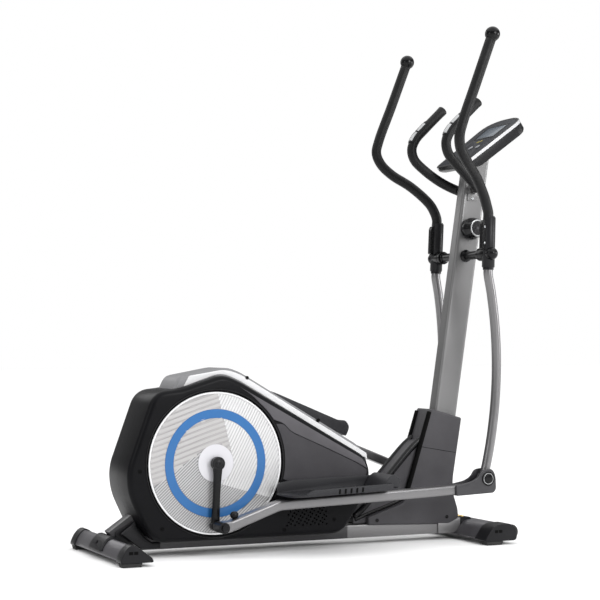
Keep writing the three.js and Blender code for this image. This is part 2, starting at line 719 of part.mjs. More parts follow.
function drivePulley() {
  const half = BELT_WIDTH / 2;
  const rim = PULLEY_RADIUS;
  const profile = [
    [CRANK_AXLE_RADIUS + GAP, -half - 4],
    [30, -half - 4],
    [34, -4],
    [rim - 14, -4],
    [rim - 12, -half - 1],
    [rim, -half - 1],
    [rim, half + 1],
    [rim - 12, half + 1],
    [rim - 14, 4],
    [34, 4],
    [30, half + 4],
    [CRANK_AXLE_RADIUS + GAP, half + 4],
    [CRANK_AXLE_RADIUS + GAP, -half - 4],
  ];
  const wheel = turned(CRANK_X, CRANK_Z, profile, LEFT, 24).translate([0, BELT_Y, 0]);
  const windows = [0, 1, 2, 3, 4, 5].map((i) => {
    const angle = (i * Math.PI) / 3;
    const reach = PULLEY_RADIUS * 0.56;
    return rod(CRANK_X + reach * Math.cos(angle), CRANK_Z + reach * Math.sin(angle), 26, 20, 52, 12);
  });
  return cut(wheel, ...windows);
}

function flywheel() {
  const half = FLYWHEEL_THICKNESS / 2;
  const hub = FLYWHEEL_HUB_RADIUS;
  const bore = FLYWHEEL_AXLE_RADIUS + RUN;
  const profile = [
    [bore, -half - 4],
    [22, -half - 4],
    [24, -5],
    [FLYWHEEL_RADIUS - 34, -5],
    [FLYWHEEL_RADIUS - 30, -half],
    [FLYWHEEL_RADIUS, -half],
    [FLYWHEEL_RADIUS, half],
    [FLYWHEEL_RADIUS - 30, half],
    [FLYWHEEL_RADIUS - 34, 5],
    [hub, 5],
    [hub, BELT_OUTER + 2],
    [bore, BELT_OUTER + 2],
    [bore, -half - 4],
  ];
  return turned(FLYWHEEL_X, FLYWHEEL_Z, profile, LEFT, 24);
}

function idlerWheel() {
  const half = BELT_WIDTH / 2;
  const bore = 5 + RUN;
  const profile = [
    [bore, -half],
    [IDLER_RADIUS, -half],
    [IDLER_RADIUS, half],
    [bore, half],
    [bore, -half],
  ];
  return turned(IDLER_X, IDLER_Z, profile, LEFT, 28).translate([0, BELT_Y, 0]);
}

// A curved bracket that carries the brake magnets beside the flywheel rim.
function magnetBrake() {
  const inner = FLYWHEEL_RADIUS + 5;
  const outer = inner + 10;
  const start = rad(-38);
  const end = rad(34);
  const arc = new THREE.Shape();
  arc.absarc(FLYWHEEL_X, FLYWHEEL_Z, outer, start, end);
  arc.absarc(FLYWHEEL_X, FLYWHEEL_Z, inner, end, start, true);
  arc.closePath();
  const lug = [
    [BRAKE_X - 12, BRAKE_Z - 12, 10],
    [BRAKE_X + 12, BRAKE_Z - 12, 10],
    [FLYWHEEL_X + (outer - 1) * Math.cos(start) + 8, FLYWHEEL_Z + (outer - 1) * Math.sin(start) + 26, 4],
    [FLYWHEEL_X + (inner + 2) * Math.cos(start), FLYWHEEL_Z + (inner + 2) * Math.sin(start) + 12, 4],
  ];
  const half = FLYWHEEL_THICKNESS / 2;
  return cut(
    join(sidePlate(arc, -half, half, 0, 8), sidePlate(lug, -half, half)),
    bore(BRAKE_X, BRAKE_Z, 5 + RUN, -40, 40),
    bore(FLYWHEEL_X, FLYWHEEL_Z, inner, -40, 40, 48),
  );
}

function crankAxle() {
  const reach = CRANK_ARM_OUTER_Y - 3;
  return rod(CRANK_X, CRANK_Z, CRANK_AXLE_RADIUS, -reach, reach);
}

function bearingCartridge() {
  return cut(
    rod(CRANK_X, CRANK_Z, BEARING_RADIUS, -SHELL_HALF_LENGTH + 1, SHELL_HALF_LENGTH - 1),
    bore(CRANK_X, CRANK_Z, CRANK_AXLE_RADIUS + RUN, -SHELL_HALF_LENGTH, SHELL_HALF_LENGTH),
  );
}

// The big turning disc that closes the housing's side round the crank.
function turningDisc(side) {
  const outerFace = HOUSING_HALF_WIDTH - 1;
  const innerFace = outerFace - DISC_THICKNESS;
  const bore = CRANK_AXLE_RADIUS + GAP;
  const profile = [
    [bore, innerFace],
    [DISC_RADIUS - 2, innerFace],
    [DISC_RADIUS, innerFace + 2],
    [DISC_RADIUS, outerFace],
    [DISC_RADIUS - 5, outerFace],
    [DISC_RADIUS - 7, outerFace - 1.5],
    [DISC_RADIUS * 0.27, outerFace - 1.5],
    [DISC_RADIUS * 0.265, outerFace],
    [30, outerFace + 2],
    [CRANK_HUB_RADIUS, CRANK_ARM_INNER_Y - 1],
    [bore, CRANK_ARM_INNER_Y - 1],
    [bore, innerFace],
  ];
  return turned(CRANK_X, CRANK_Z, profile, side, 40);
}

function crankArm(side) {
  const { pinX, pinZ } = linkage(side);
  const along = new THREE.Vector2(pinX - CRANK_X, pinZ - CRANK_Z).normalize();
  const across = new THREE.Vector2(-along.y, along.x);
  const corner = (centreX, centreZ, s, t) => [
    centreX + along.x * s + across.x * t,
    centreZ + along.y * s + across.y * t,
  ];
  const half = CRANK_ARM_WIDTH / 2;
  const inner = CRANK_ARM_INNER_Y;
  const outer = CRANK_ARM_OUTER_Y;
  const arm = sidePlate(
    [
      corner(CRANK_X, CRANK_Z, 0, -half - 2),
      corner(pinX, pinZ, 0, -half),
      corner(pinX, pinZ, 0, half),
      corner(CRANK_X, CRANK_Z, 0, half + 2),
    ],
    side * inner,
    side * outer,
    2,
  );
  const hub = rod(CRANK_X, CRANK_Z, CRANK_HUB_RADIUS, side * inner, side * outer);
  const eye = rod(pinX, pinZ, half + 2, side * inner, side * outer);
  const socket = bore(CRANK_X, CRANK_Z, CRANK_AXLE_RADIUS + GAP, side * (inner - 1), side * (outer - 2.5));
  return cut(join(arm, hub, eye), socket);
}

// ---------------------------------------------------------------- mast shroud

const SHROUD_BASE_HALF = 56;
const GUSSET_HALF = 32;
const SHROUD_WALL = 3;

const SHROUD_CORNERS = [
  [165, 60, 4],
  [460, 50, 8],
  [497, 66, 10],
  [496, 96, 12],
  [478, 150, 20],
  [477, 196, 20],
  [510, 394, 6],
  [396, 426, 8],
  [318, 180, 30],
  [298, 126, 20],
  [165, 85, 6],
];

const GUSSET_CORNERS = [
  [118, 63, 6],
  [330, 63],
  [380, 330],
  [342, 318, 20],
  [252, 226, 30],
  [156, 122, 10],
  [118, 88, 10],
];

function shroudHalf(side) {
  const wall = SHROUD_WALL;
  const shell = (corners, half, bevel) => sidePlate(corners, -half, half, bevel);
  const column = shell(SHROUD_CORNERS, SHROUD_BASE_HALF, 6);
  const gusset = shell(GUSSET_CORNERS, GUSSET_HALF, 4);
  const columnRoom = shell(inset(SHROUD_CORNERS, wall), SHROUD_BASE_HALF - wall, 5);
  const gussetRoom = shell(inset(GUSSET_CORNERS, wall), GUSSET_HALF - wall, 3);
  const otherHalf = block(0, 700, side * GAP, -side * 200, 0, 700);
  const mastRoom = mastFrame(
    block(-MAST_DEPTH / 2 - GAP, MAST_DEPTH / 2 + GAP, -MAST_WIDTH / 2 - GAP, MAST_WIDTH / 2 + GAP, 0, 600),
  );
  const beamRoom = block(0, 700, -BEAM_WIDTH / 2 - GAP, BEAM_WIDTH / 2 + GAP, 0, BEAM_TOP + GAP);
  const saddleRoom = block(
    FRONT_STABILIZER_X - 62, FRONT_STABILIZER_X + 70,
    -BEAM_WIDTH / 2 - 8 - GAP, BEAM_WIDTH / 2 + 8 + GAP, 0, STABILIZER_BASE + STABILIZER_HEIGHT + 8,
  );
  return cut(join(column, gusset), columnRoom, gussetRoom, otherHalf, mastRoom, beamRoom, saddleRoom);
}

// ---------------------------------------------------------------- console

const CONSOLE_REAR_X = 493;
const CONSOLE_REAR_Z = 1226;

// The console's own frame: x runs up the slope from its middle, z = 0 is the rim of its face.
function consoleFrame(body) {
  const tilt = rad(CONSOLE_TILT);
  const middle = CONSOLE_LENGTH / 2;
  return body
    .rotate([0, -CONSOLE_TILT, 0])
    .translate([CONSOLE_REAR_X + middle * Math.cos(tilt), 0, CONSOLE_REAR_Z + middle * Math.sin(tilt)]);
}

const CONSOLE_PLAN = [
  [-CONSOLE_LENGTH / 2, -CONSOLE_HALF_WIDTH + 14, 26],
  [CONSOLE_LENGTH / 2 - 26, -CONSOLE_HALF_WIDTH, 60],
  [CONSOLE_LENGTH / 2, -CONSOLE_HALF_WIDTH * 0.45, 40],
  [CONSOLE_LENGTH / 2, CONSOLE_HALF_WIDTH * 0.45, 40],
  [CONSOLE_LENGTH / 2 - 26, CONSOLE_HALF_WIDTH, 60],
  [-CONSOLE_LENGTH / 2, CONSOLE_HALF_WIDTH - 14, 26],
];

const FACE_RIM = 9;
const DISPLAY = { x0: 24, x1: 96, half: 60 };
const BUTTON_X = -38;
const BUTTON_RADIUS = 9;
const BUTTON_TRAVEL = 1.5;
const BUTTON_SPACING = 44;

function consoleBody() {
  const shell = floorPlate(CONSOLE_PLAN, -CONSOLE_THICKNESS, 0);
  const sideShape = [
    [-CONSOLE_LENGTH / 2, -14, 12],
    [-CONSOLE_LENGTH / 2 + 34, -CONSOLE_THICKNESS, 26],
    [CONSOLE_LENGTH / 2 - 34, -CONSOLE_THICKNESS, 22],
    [CONSOLE_LENGTH / 2, -16, 16],
    [CONSOLE_LENGTH / 2, 0],
    [-CONSOLE_LENGTH / 2, 0],
  ];
  const rounded = shell.intersect(sidePlate(sideShape, -CONSOLE_HALF_WIDTH, CONSOLE_HALF_WIDTH));
  const tray = floorPlate(inset(CONSOLE_PLAN, FACE_RIM - GAP), -CONSOLE_FACE_DEPTH - GAP, 1);
  const room = floorPlate(
    inset(CONSOLE_PLAN, FACE_RIM + 8),
    -CONSOLE_THICKNESS * 0.62, 1,
  );
  return consoleFrame(cut(rounded, tray, room));
}

function consoleFace() {
  const plate = floorPlate(inset(CONSOLE_PLAN, FACE_RIM), -CONSOLE_FACE_DEPTH, 0);
  const window = displayBlock(GAP, -CONSOLE_FACE_DEPTH - 1, 1);
  const holes = buttonPlaces.map(([x, y]) => socket(x, y, BUTTON_RADIUS + RUN, -CONSOLE_FACE_DEPTH - 1, 1));
  return consoleFrame(cut(plate, window, ...holes));
}

const buttonPlaces = [-1, 0, 1].map((i) => [BUTTON_X, i * BUTTON_SPACING]);

function displayBlock(clearance, z0, z1) {
  const { x0, x1, half } = DISPLAY;
  return block(x0 - clearance, x1 + clearance, -half - clearance, half + clearance, z0, z1);
}

// A short round post along z.
function upright(x, y, radius, z0, z1, segments = 16) {
  const geometry = new THREE.CylinderGeometry(radius, radius, z1 - z0, segments);
  geometry.rotateX(Math.PI / 2);
  return solid(geometry.translate(x, y, (z0 + z1) / 2));
}

// The space of a hole along z that a round piece of the given radius fits through.
function socket(x, y, radius, z0, z1, segments = 16) {
  return upright(x, y, radius / Math.cos(Math.PI / segments), z0, z1, segments);
}

function displayWindow() {
  return consoleFrame(displayBlock(0, -CONSOLE_FACE_DEPTH, -0.4));
}

function consoleButton([x, y]) {
  const cap = upright(x, y, BUTTON_RADIUS, -CONSOLE_FACE_DEPTH - BUTTON_TRAVEL, 2);
  const flange = upright(x, y, BUTTON_RADIUS + 2, -CONSOLE_FACE_DEPTH - BUTTON_TRAVEL - 1, -CONSOLE_FACE_DEPTH - 0.6);
  return consoleFrame(join(cap, flange));
}

// ---------------------------------------------------------------- fixed handlebar and knob

const FIXED_BAR_Z = 1145;
const FIXED_BAR_X = mastX(FIXED_BAR_Z) - 8;

// One half of the handlebar, from the centre plane to the grip's end.
function fixedBarPoints(side) {
  const s = FIXED_GRIP_SPREAD;
  return [
    [FIXED_BAR_X, 0, FIXED_BAR_Z],
    [FIXED_BAR_X, side * 20, FIXED_BAR_Z],
    [FIXED_BAR_X, side * 40, FIXED_BAR_Z],
    [FIXED_BAR_X - 12, side * 64, FIXED_BAR_Z + 7],
    [FIXED_BAR_X - 58, side * (s - 24), FIXED_BAR_Z + 34],
    [FIXED_BAR_X - 112, side * (s - 8), FIXED_BAR_Z + 74],
    [FIXED_BAR_X - 146, side * (s - 2), FIXED_BAR_Z + 108],
    [FIXED_BAR_X - 154, side * s, FIXED_BAR_Z + 142],
    [FIXED_BAR_X - 140, side * s, FIXED_BAR_Z + 176],
    [FIXED_BAR_X - 106, side * s, FIXED_BAR_Z + 212],
    [FIXED_BAR_X - 22, side * s, FIXED_BAR_Z + 292],
  ];
}

const BAR_STEPS = 44;
const barHalf = (side) => smooth(fixedBarPoints(side)).getSpacedPoints(BAR_STEPS).map((p) => p.toArray());

function fixedHandlebar() {
  const right = barHalf(RIGHT).slice(0, BAR_STEPS).reverse();
  const left = barHalf(LEFT).slice(1, BAR_STEPS);
  return bar(smooth([...right, ...left]), FIXED_BAR_RADIUS, 36, 4, FIXED_BAR_BORE);
}

function fixedGrip(side) {
  const points = barHalf(side).slice(5);
  return bar(smooth(points), FIXED_GRIP_RADIUS, 18, 5, FIXED_BAR_RADIUS + 3.2);
}

// A curved metal plate let into the face of a grip that the palm covers.
function pulseSensor(side) {
  const points = barHalf(side).slice(28, 36);
  const plate = bar(smooth(points), FIXED_GRIP_RADIUS + 3.2, 5, 6, FIXED_GRIP_RADIUS + GAP + 1);
  const middle = points[4];
  const rearHalf = block(middle[0] - 70, middle[0] + 70, side * 60, side * 160, 1200, 1500);
  return plate.intersect(rearHalf).subtract(
    sidePlate(
      [
        [FIXED_BAR_X - 150, FIXED_BAR_Z + 140],
        [FIXED_BAR_X + 80, FIXED_BAR_Z + 140],
        [FIXED_BAR_X + 80, FIXED_BAR_Z + 390],
      ],
      side * 60,
      side * 170,
    ),
  );
}

function handlebarClamp() {
  const z = FIXED_BAR_Z - 6;
  const face = MAST_WIDTH / 2;
  const lean = Math.tan(mastLean);
  const corner = (dx, dz) => [FIXED_BAR_X + dx + dz * lean, z + dz, 3];
  return cut(
    sidePlate(
      [corner(-19, -30), corner(19, -30), corner(19, 30), corner(-19, 30)],
      -face - GAP,
      -face - 3,
      0.6,
    ),
    bore(FIXED_BAR_X, FIXED_BAR_Z, FIXED_BAR_RADIUS + 2 * GAP, -60, 0),
  );
}

function tensionKnob() {
  const inner = MAST_WIDTH / 2 + 1;
  const outer = inner + KNOB_HEIGHT;
  const profile = [
    [0, inner - 12],
    [5, inner - 12],
    [5, inner],
    [KNOB_RADIUS - 2, inner],
    [KNOB_RADIUS, inner + 3],
    [KNOB_RADIUS - 1, inner + 22],
    [KNOB_FACE_RADIUS + 1, outer - 3],
    [KNOB_FACE_RADIUS, outer],
    [KNOB_FACE_RADIUS - 4, outer],
    [KNOB_FACE_RADIUS - 5, outer - 1.5],
    [0, outer - 1.5],
  ];
  return turned(mastX(KNOB_Z), KNOB_Z, profile, RIGHT, 24);
}

// ---------------------------------------------------------------- swing arms

// Everything here is in the swing arm's own frame: origin on the upper pivot, lower pivot straight below.
function swingHandle(side) {
  const y = (value) => side * value;
  const points = [
    [-4, y(ARM_Y), 44],
    [-4, y(ARM_Y), 80],
    [-4, y(ARM_Y), 114],
    [-4.5, y(ARM_Y), 132],
    [-15, y(ARM_Y + 4), 152],
    [-34, y(ARM_Y + 14), 181],
    [-88, y(ARM_Y + 52), 242],
    [-140, y(ARM_Y + 84), 282],
    [-174, y(HANDLE_SPREAD - 16), 318],
    [-186, y(HANDLE_SPREAD - 3), 356],
    [-178, y(HANDLE_SPREAD), 396],
    [-133, y(HANDLE_SPREAD), 524],
    [-82, y(HANDLE_SPREAD + 1), HANDLE_RISE - 14],
  ];
  return bar(smooth(points), HANDLE_RADIUS, 20, 5);
}

const KNOB_END_RADIUS = 24;

function handleKnob(side) {
  const end = new THREE.SphereGeometry(KNOB_END_RADIUS, 16, 10);
  const ball = solid(end.translate(-78, side * (HANDLE_SPREAD + 1), HANDLE_RISE));
  const stem = smooth([
    [-133, side * HANDLE_SPREAD, 524],
    [-82 + 6, side * (HANDLE_SPREAD + 1), HANDLE_RISE + 2],
  ]);
  return cut(ball, bar(stem, HANDLE_RADIUS + 1, 3, 6));
}

function pivotSleeve(side) {
  const barrel = rod(0, 0, SLEEVE_RADIUS + 1, side * PIVOT_BARREL_INNER_Y, side * (ARM_Y + SLEEVE_RADIUS));
  const ball = solid(new THREE.SphereGeometry(SLEEVE_RADIUS, 14, 8).translate(0, side * (ARM_Y + 18), 0));
  const collar = (radius, z0, z1) => upright(0, side * ARM_Y, radius, z0, z1);
  const body = join(
    barrel,
    ball,
    collar(SLEEVE_RADIUS, SLEEVE_BOTTOM + 8, SLEEVE_TOP),
    collar(SLEEVE_RADIUS - 3, SLEEVE_BOTTOM, SLEEVE_TOP + 4),
    sidePlate(
      [[-30, 10, 4], [-14, 10], [-14, SLEEVE_TOP - 8], [-26, SLEEVE_TOP - 14, 6]],
      side * (ARM_Y - 9),
      side * (ARM_Y + 9),
      2,
    ),
  );
  const handleSocket = socket(-4, side * ARM_Y, HANDLE_RADIUS + 0.8, 43.6, SLEEVE_TOP + 6);
  const tubeSocket = socket(0, side * ARM_Y, SWING_TUBE_RADIUS + 0.8, SLEEVE_BOTTOM - 1, -PIVOT_AXLE_RADIUS - 8);
  const axleBore = bore(0, 0, PIVOT_AXLE_RADIUS + RUN, side * (PIVOT_BARREL_INNER_Y - 1), side * (ARM_Y + 12));
  return cut(body, handleSocket, tubeSocket, axleBore);
}

function swingTube(side) {
  const top = -PIVOT_AXLE_RADIUS - 9;
  const bottom = -SWING_ARM_LENGTH;
  const straight = SLEEVE_BOTTOM - 12;
  const steps = 10;
  const bowed = Array.from({ length: steps }, (_, i) => {
    const t = (i + 1) / steps;
    const z = straight + (bottom - straight) * t;
    return [SWING_TUBE_BOW * 4 * t * (1 - t), side * ARM_Y, z];
  });
  const curve = smooth([[0, side * ARM_Y, top], [0, side * ARM_Y, SLEEVE_BOTTOM + 4], [0, side * ARM_Y, straight], ...bowed]);
  const eye = rod(0, bottom, 17, side * (ARM_Y - EYE_HALF), side * (ARM_Y + EYE_HALF));
  const boltHole = bore(0, bottom, PIVOT_BOLT_RADIUS + RUN, side * (ARM_Y - 40), side * (ARM_Y + 40));
  return cut(join(bar(curve, SWING_TUBE_RADIUS, 16, 5, SWING_TUBE_BORE), eye), boltHole);
}

// ---------------------------------------------------------------- pedal arms

const EYE_HALF = 15;
const CHEEK = 4.5;
const PIVOT_BOLT_RADIUS = 8;
const ARM_BEND = [-723, 35.5];
const ARM_FRONT = [-62, -24];
const ARM_REAR_END = -889;
const ARM_SLOPE = Math.atan2(ARM_FRONT[1] - ARM_BEND[1], ARM_FRONT[0] - ARM_BEND[0]);

// A strip of an arm tube's height along its bent axis, as a closed outline.
function armStrip(height, rear, front) {
  const half = height / 2;
  const up = new THREE.Vector2(-Math.sin(ARM_SLOPE), Math.cos(ARM_SLOPE));
  const rise = Math.atan2(ARM_BEND[1], ARM_BEND[0] - rear);
  const mitre = Math.tan((rise - ARM_SLOPE) / 2);
  const along = new THREE.Vector2(up.y, -up.x);
  const bend = (s) => [
    ARM_BEND[0] + up.x * s - along.x * s * mitre,
    ARM_BEND[1] + up.y * s - along.y * s * mitre,
    18,
  ];
  const rearUp = new THREE.Vector2(-Math.sin(rise), Math.cos(rise));
  return [
    [rear - rearUp.x * half, -rearUp.y * half],
    bend(-half),
    [front[0] - up.x * half, front[1] - up.y * half],
    [front[0] + up.x * half, front[1] + up.y * half],
    bend(half),
    [rear + rearUp.x * half, rearUp.y * half],
  ];
}

function pedalArm(side) {
  const y0 = side * (ARM_Y - ARM_TUBE_WIDTH / 2);
  const y1 = side * (ARM_Y + ARM_TUBE_WIDTH / 2);
  const tube = sidePlate(armStrip(ARM_TUBE_HEIGHT, ARM_REAR_END, ARM_FRONT), y0, y1, 3);
  const tubeRoom = sidePlate(
    armStrip(ARM_TUBE_HEIGHT - 2 * ARM_TUBE_WALL, ARM_REAR_END + 12, [ARM_FRONT[0] + 2, ARM_FRONT[1]]),
    y0 + side * ARM_TUBE_WALL,
    y1 - side * ARM_TUBE_WALL,
  );
  const cheekOutline = [
    [-96, -36],
    [-14, -30, 10],
    [16, -16, 20],
    [18, 16, 22],
    [-18, 18, 22],
    [-96, -6],
  ];
  const inner = ARM_Y - EYE_HALF - 1;
  const outer = ARM_Y + EYE_HALF + 1;
  const cheeks = [
    sidePlate(cheekOutline, side * (inner - CHEEK), side * inner),
    sidePlate(cheekOutline, side * outer, side * (outer + CHEEK)),
  ];
  const bolt = rod(0, 0, PIVOT_BOLT_RADIUS, side * (inner - CHEEK), side * (outer + CHEEK));
  const pinInner = CRANK_ARM_OUTER_Y + PIN_SPLIT;
  const barrel = rod(-PEDAL_ARM_LENGTH, 0, 13, side * pinInner, side * (ARM_Y + 22));
  const boltHead = rod(-PEDAL_ARM_LENGTH, 0, 10, side * (ARM_Y + 22), side * (ARM_Y + 30), 6);
  const yoke = sidePlate(
    [
      [-PEDAL_ARM_LENGTH, -12, 4],
      [ARM_REAR_END + 8, -17],
      [ARM_REAR_END + 8, 17],
      [-PEDAL_ARM_LENGTH, 13, 4],
    ],
    side * (ARM_Y - 26),
    side * (ARM_Y + 21),
  );
  const saddles = [0.2, 0.78].map((share) => pedalFrame(
    side,
    block(
      PEDAL_LENGTH * share - 20, PEDAL_LENGTH * share + 20,
      side * (ARM_Y - 30), side * (ARM_Y + 44),
      ARM_TUBE_HEIGHT / 2 - 2, ARM_TUBE_HEIGHT / 2 + PEDAL_STAND_OFF - GAP,
    ),
  ));
  return join(cut(join(tube, yoke, ...saddles), tubeRoom), ...cheeks, bolt, barrel, boltHead);
}

// The pedal's frame: x runs forward along the arm tube from the bend, z = 0 is the tube's axis.
function pedalFrame(side, body) {
  return body.rotate([0, THREE.MathUtils.radToDeg(-ARM_SLOPE), 0]).translate([ARM_BEND[0] + 8, 0, ARM_BEND[1]]);
}

function pivotBracket(side) {
  const corners = [
    [-120, -36, 3],
    [16, -48, 10],
    [26, -38, 10],
    [30, 4, 24],
    [20, 30, 24],
    [-20, 30, 24],
    [-34, 10, 24],
    [-60, 0, 20],
    [-118, -3, 2],
  ];
  const low = ARM_Y - EYE_HALF - 1 - CHEEK - GAP;
  const high = ARM_Y + EYE_HALF + 1 + CHEEK + GAP;
  const body = sidePlate(corners, side * (low - 4), side * (high + 8), 2);
  const channel = join(
    block(-140, 22, side * low, side * high, -36, 60),
    block(0, 60, side * low, side * high, -8, 60),
  );
  const tubeRoom = sidePlate(
    armStrip(ARM_TUBE_HEIGHT + 2 * GAP, ARM_REAR_END, [-40, ARM_FRONT[1] - 2]),
    side * (ARM_Y - ARM_TUBE_WIDTH / 2 - GAP),
    side * (ARM_Y + ARM_TUBE_WIDTH / 2 + GAP),
  );
  return cut(body, channel, tubeRoom);
}

function pedal(side) {
  const base = ARM_TUBE_HEIGHT / 2 + PEDAL_STAND_OFF;
  const top = base + PEDAL_FLOOR;
  const inner = side * PEDAL_INNER_Y;
  const outer = side * (PEDAL_INNER_Y + PEDAL_WIDTH);
  const plan = [
    [0, inner, 30],
    [0, outer, 45],
    [PEDAL_LENGTH, outer, 30],
    [PEDAL_LENGTH, inner, 20],
  ];
  const floor = floorPlate(plan, base, top);
  const wall = 6;
  const innerWall = sidePlate(
    [
      [26, base],
      [PEDAL_LENGTH - 20, base],
      [PEDAL_LENGTH - 20, top + PEDAL_INNER_WALL - 4, 10],
      [60, top + PEDAL_INNER_WALL, 30],
      [8, top + PEDAL_INNER_WALL - 6, 26],
      [8, base + 4, 8],
    ],
    inner,
    inner + side * wall,
  );
  const outerWall = sidePlate(
    [
      [48, base],
      [PEDAL_LENGTH - 30, base],
      [PEDAL_LENGTH - 30, top + PEDAL_OUTER_WALL, 4],
      [60, top + PEDAL_OUTER_WALL, 14],
      [40, top, 6],
    ],
    outer,
    outer - side * wall,
  );
  const toe = sidePlate(
    [
      [PEDAL_LENGTH - 62, top - 1],
      [PEDAL_LENGTH, top - 1],
      [PEDAL_LENGTH, top + 26, 10],
      [PEDAL_LENGTH - 22, top + 42, 16],
      [PEDAL_LENGTH - 44, top + 30, 16],
      [PEDAL_LENGTH - 58, top + 6, 12],
    ],
    inner + side * 8,
    outer - side * 8,
    3,
  );
  return pedalFrame(side, join(floor, innerWall, outerWall, toe));
}

// ---------------------------------------------------------------- assembly

place("main_frame", mainFrame(), "paleGrey");
place("mast", mast(), "paintedGrey");
place("pivot_axle", rod(UPPER_PIVOT_X, UPPER_PIVOT_Z, PIVOT_AXLE_RADIUS, -ARM_Y - 10, ARM_Y + 10), "black");
place("front_stabilizer", stabilizer(FRONT_FIN, FRONT_TUBE_HALF), "charcoal");
place("rear_stabilizer", stabilizer(REAR_FIN, STABILIZER_HALF_LENGTH - 8), "paintedGrey");
place("rear_saddle", rearSaddle(), "charcoal");
place("rear_skirt", rearSkirt(), "black");
place("top_cover", topCover(), "silver");
place("crank_axle", crankAxle(), "steel");
place("bearing_cartridge", bearingCartridge(), "steel");
place("drive_pulley", drivePulley(), "black");
place("drive_belt", driveBelt(), "rubber");
place("flywheel", flywheel(), "castIron");
place("idler_wheel", idlerWheel(), "black");
place("magnet_brake", magnetBrake(), "steel");
place("console_body", consoleBody(), "black");
place("console_face", consoleFace(), "face");
place("display_window", displayWindow(), "lens");
buttonPlaces.forEach((at, i) => place(`console_button_${i + 1}`, consoleButton(at), "button"));
place("fixed_handlebar", fixedHandlebar(), "steel");
place("handlebar_clamp", handlebarClamp(), "paintedGrey");
place("tension_knob", tensionKnob(), "black");

for (const side of [RIGHT, LEFT]) {
  const name = sideName(side);
  place(`rear_cap_${name}`, stabilizerCap(REAR_FIN, side, REAR_CAP_LENGTH), "charcoal");
  place(`front_cap_${name}`, frontCap(side), "charcoal");
  place(`rear_foot_${name}`, footPad(REAR_STABILIZER_X + 3, side), "rubber");
  place(`front_foot_${name}`, footPad(FRONT_STABILIZER_X + 3, side), "rubber");
  place(`transport_wheel_${name}`, transportWheel(side), "rubber");
  place(`housing_${name}`, housingShell(side), "charcoal");
  place(`mast_shroud_${name}`, shroudHalf(side), "charcoal");
  place(`crank_arm_${name}`, crankArm(side), "black");
  place(`turning_disc_${name}`, turningDisc(side), "disc");
  place(`fixed_grip_${name}`, fixedGrip(side), "foam");
  place(`pulse_sensor_${name}`, pulseSensor(side), "chrome");

  const { swing, tilt } = linkage(side);
  const swingArm = pivotGroup(UPPER_PIVOT_X, UPPER_PIVOT_Z, swing);
  place(`handle_${name}`, swingHandle(side), "foam", swingArm);
  place(`handle_knob_${name}`, handleKnob(side), "black", swingArm);
  place(`pivot_sleeve_${name}`, pivotSleeve(side), "black", swingArm);
  place(`swing_tube_${name}`, swingTube(side), "paintedGrey", swingArm);

  const armGroup = pivotGroup(0, -SWING_ARM_LENGTH, tilt - swing, swingArm);
  place(`pedal_arm_${name}`, pedalArm(side), "paleGrey", armGroup);
  place(`pivot_bracket_${name}`, pivotBracket(side), "charcoal", armGroup);
  place(`pedal_${name}`, pedal(side), "charcoal", armGroup);
}

// The part's frame has its origin under the middle of the whole machine.
const extent = new THREE.Box3().setFromObject(trainer);
trainer.position.x = -(extent.min.x + extent.max.x) / 2;

export default trainer;
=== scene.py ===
"""A rear-drive elliptical trainer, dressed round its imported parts.

Metres, +X forward towards the console, +Y to the user's left, +Z up, floor at z = 0.
"""

from __future__ import annotations

import json
import logging
import math
from collections.abc import Callable, Sequence
from dataclasses import dataclass, field
from enum import Enum
from typing import Any, ClassVar

import bmesh
import bpy
from mathutils import Matrix, Vector

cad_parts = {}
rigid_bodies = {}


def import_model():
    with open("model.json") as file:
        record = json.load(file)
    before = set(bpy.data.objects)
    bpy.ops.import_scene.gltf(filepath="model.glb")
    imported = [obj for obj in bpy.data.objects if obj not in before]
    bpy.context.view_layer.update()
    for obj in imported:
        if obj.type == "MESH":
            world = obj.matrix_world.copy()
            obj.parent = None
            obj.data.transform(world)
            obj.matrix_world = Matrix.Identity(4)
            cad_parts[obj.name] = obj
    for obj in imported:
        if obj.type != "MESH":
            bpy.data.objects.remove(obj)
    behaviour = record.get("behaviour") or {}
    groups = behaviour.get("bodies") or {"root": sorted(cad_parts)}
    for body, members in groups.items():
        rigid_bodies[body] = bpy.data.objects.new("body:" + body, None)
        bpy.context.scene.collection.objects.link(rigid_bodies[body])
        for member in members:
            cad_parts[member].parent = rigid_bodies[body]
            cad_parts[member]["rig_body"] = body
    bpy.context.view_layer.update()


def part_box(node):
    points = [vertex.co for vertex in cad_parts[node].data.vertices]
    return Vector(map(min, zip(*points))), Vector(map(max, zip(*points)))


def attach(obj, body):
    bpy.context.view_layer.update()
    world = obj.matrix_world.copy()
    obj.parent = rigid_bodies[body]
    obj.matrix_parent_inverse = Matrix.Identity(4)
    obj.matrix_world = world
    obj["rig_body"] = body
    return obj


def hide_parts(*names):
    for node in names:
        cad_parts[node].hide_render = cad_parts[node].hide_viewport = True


LOG = logging.getLogger("trainer")

Colour = tuple[float, float, float]
Point = tuple[float, float, float]
Corner = tuple[float, float, float]  # across, up, corner radius

CRANK_CENTRE = (-0.376, 0.277)
CRANK_THROW = 0.186
CRANK_TILT = 2.8  # degrees from upright at rest
FLYWHEEL_CENTRE = (-0.062, 0.192)
UPPER_PIVOT = (0.54, 0.926)


class Side(Enum):
    """Which side of the machine, by the sign of Y."""

    RIGHT = -1
    LEFT = 1

    @property
    def word(self) -> str:
        """The side's name, as the parts spell it."""
        return self.name.lower()


# ---------------------------------------------------------------- shader nodes


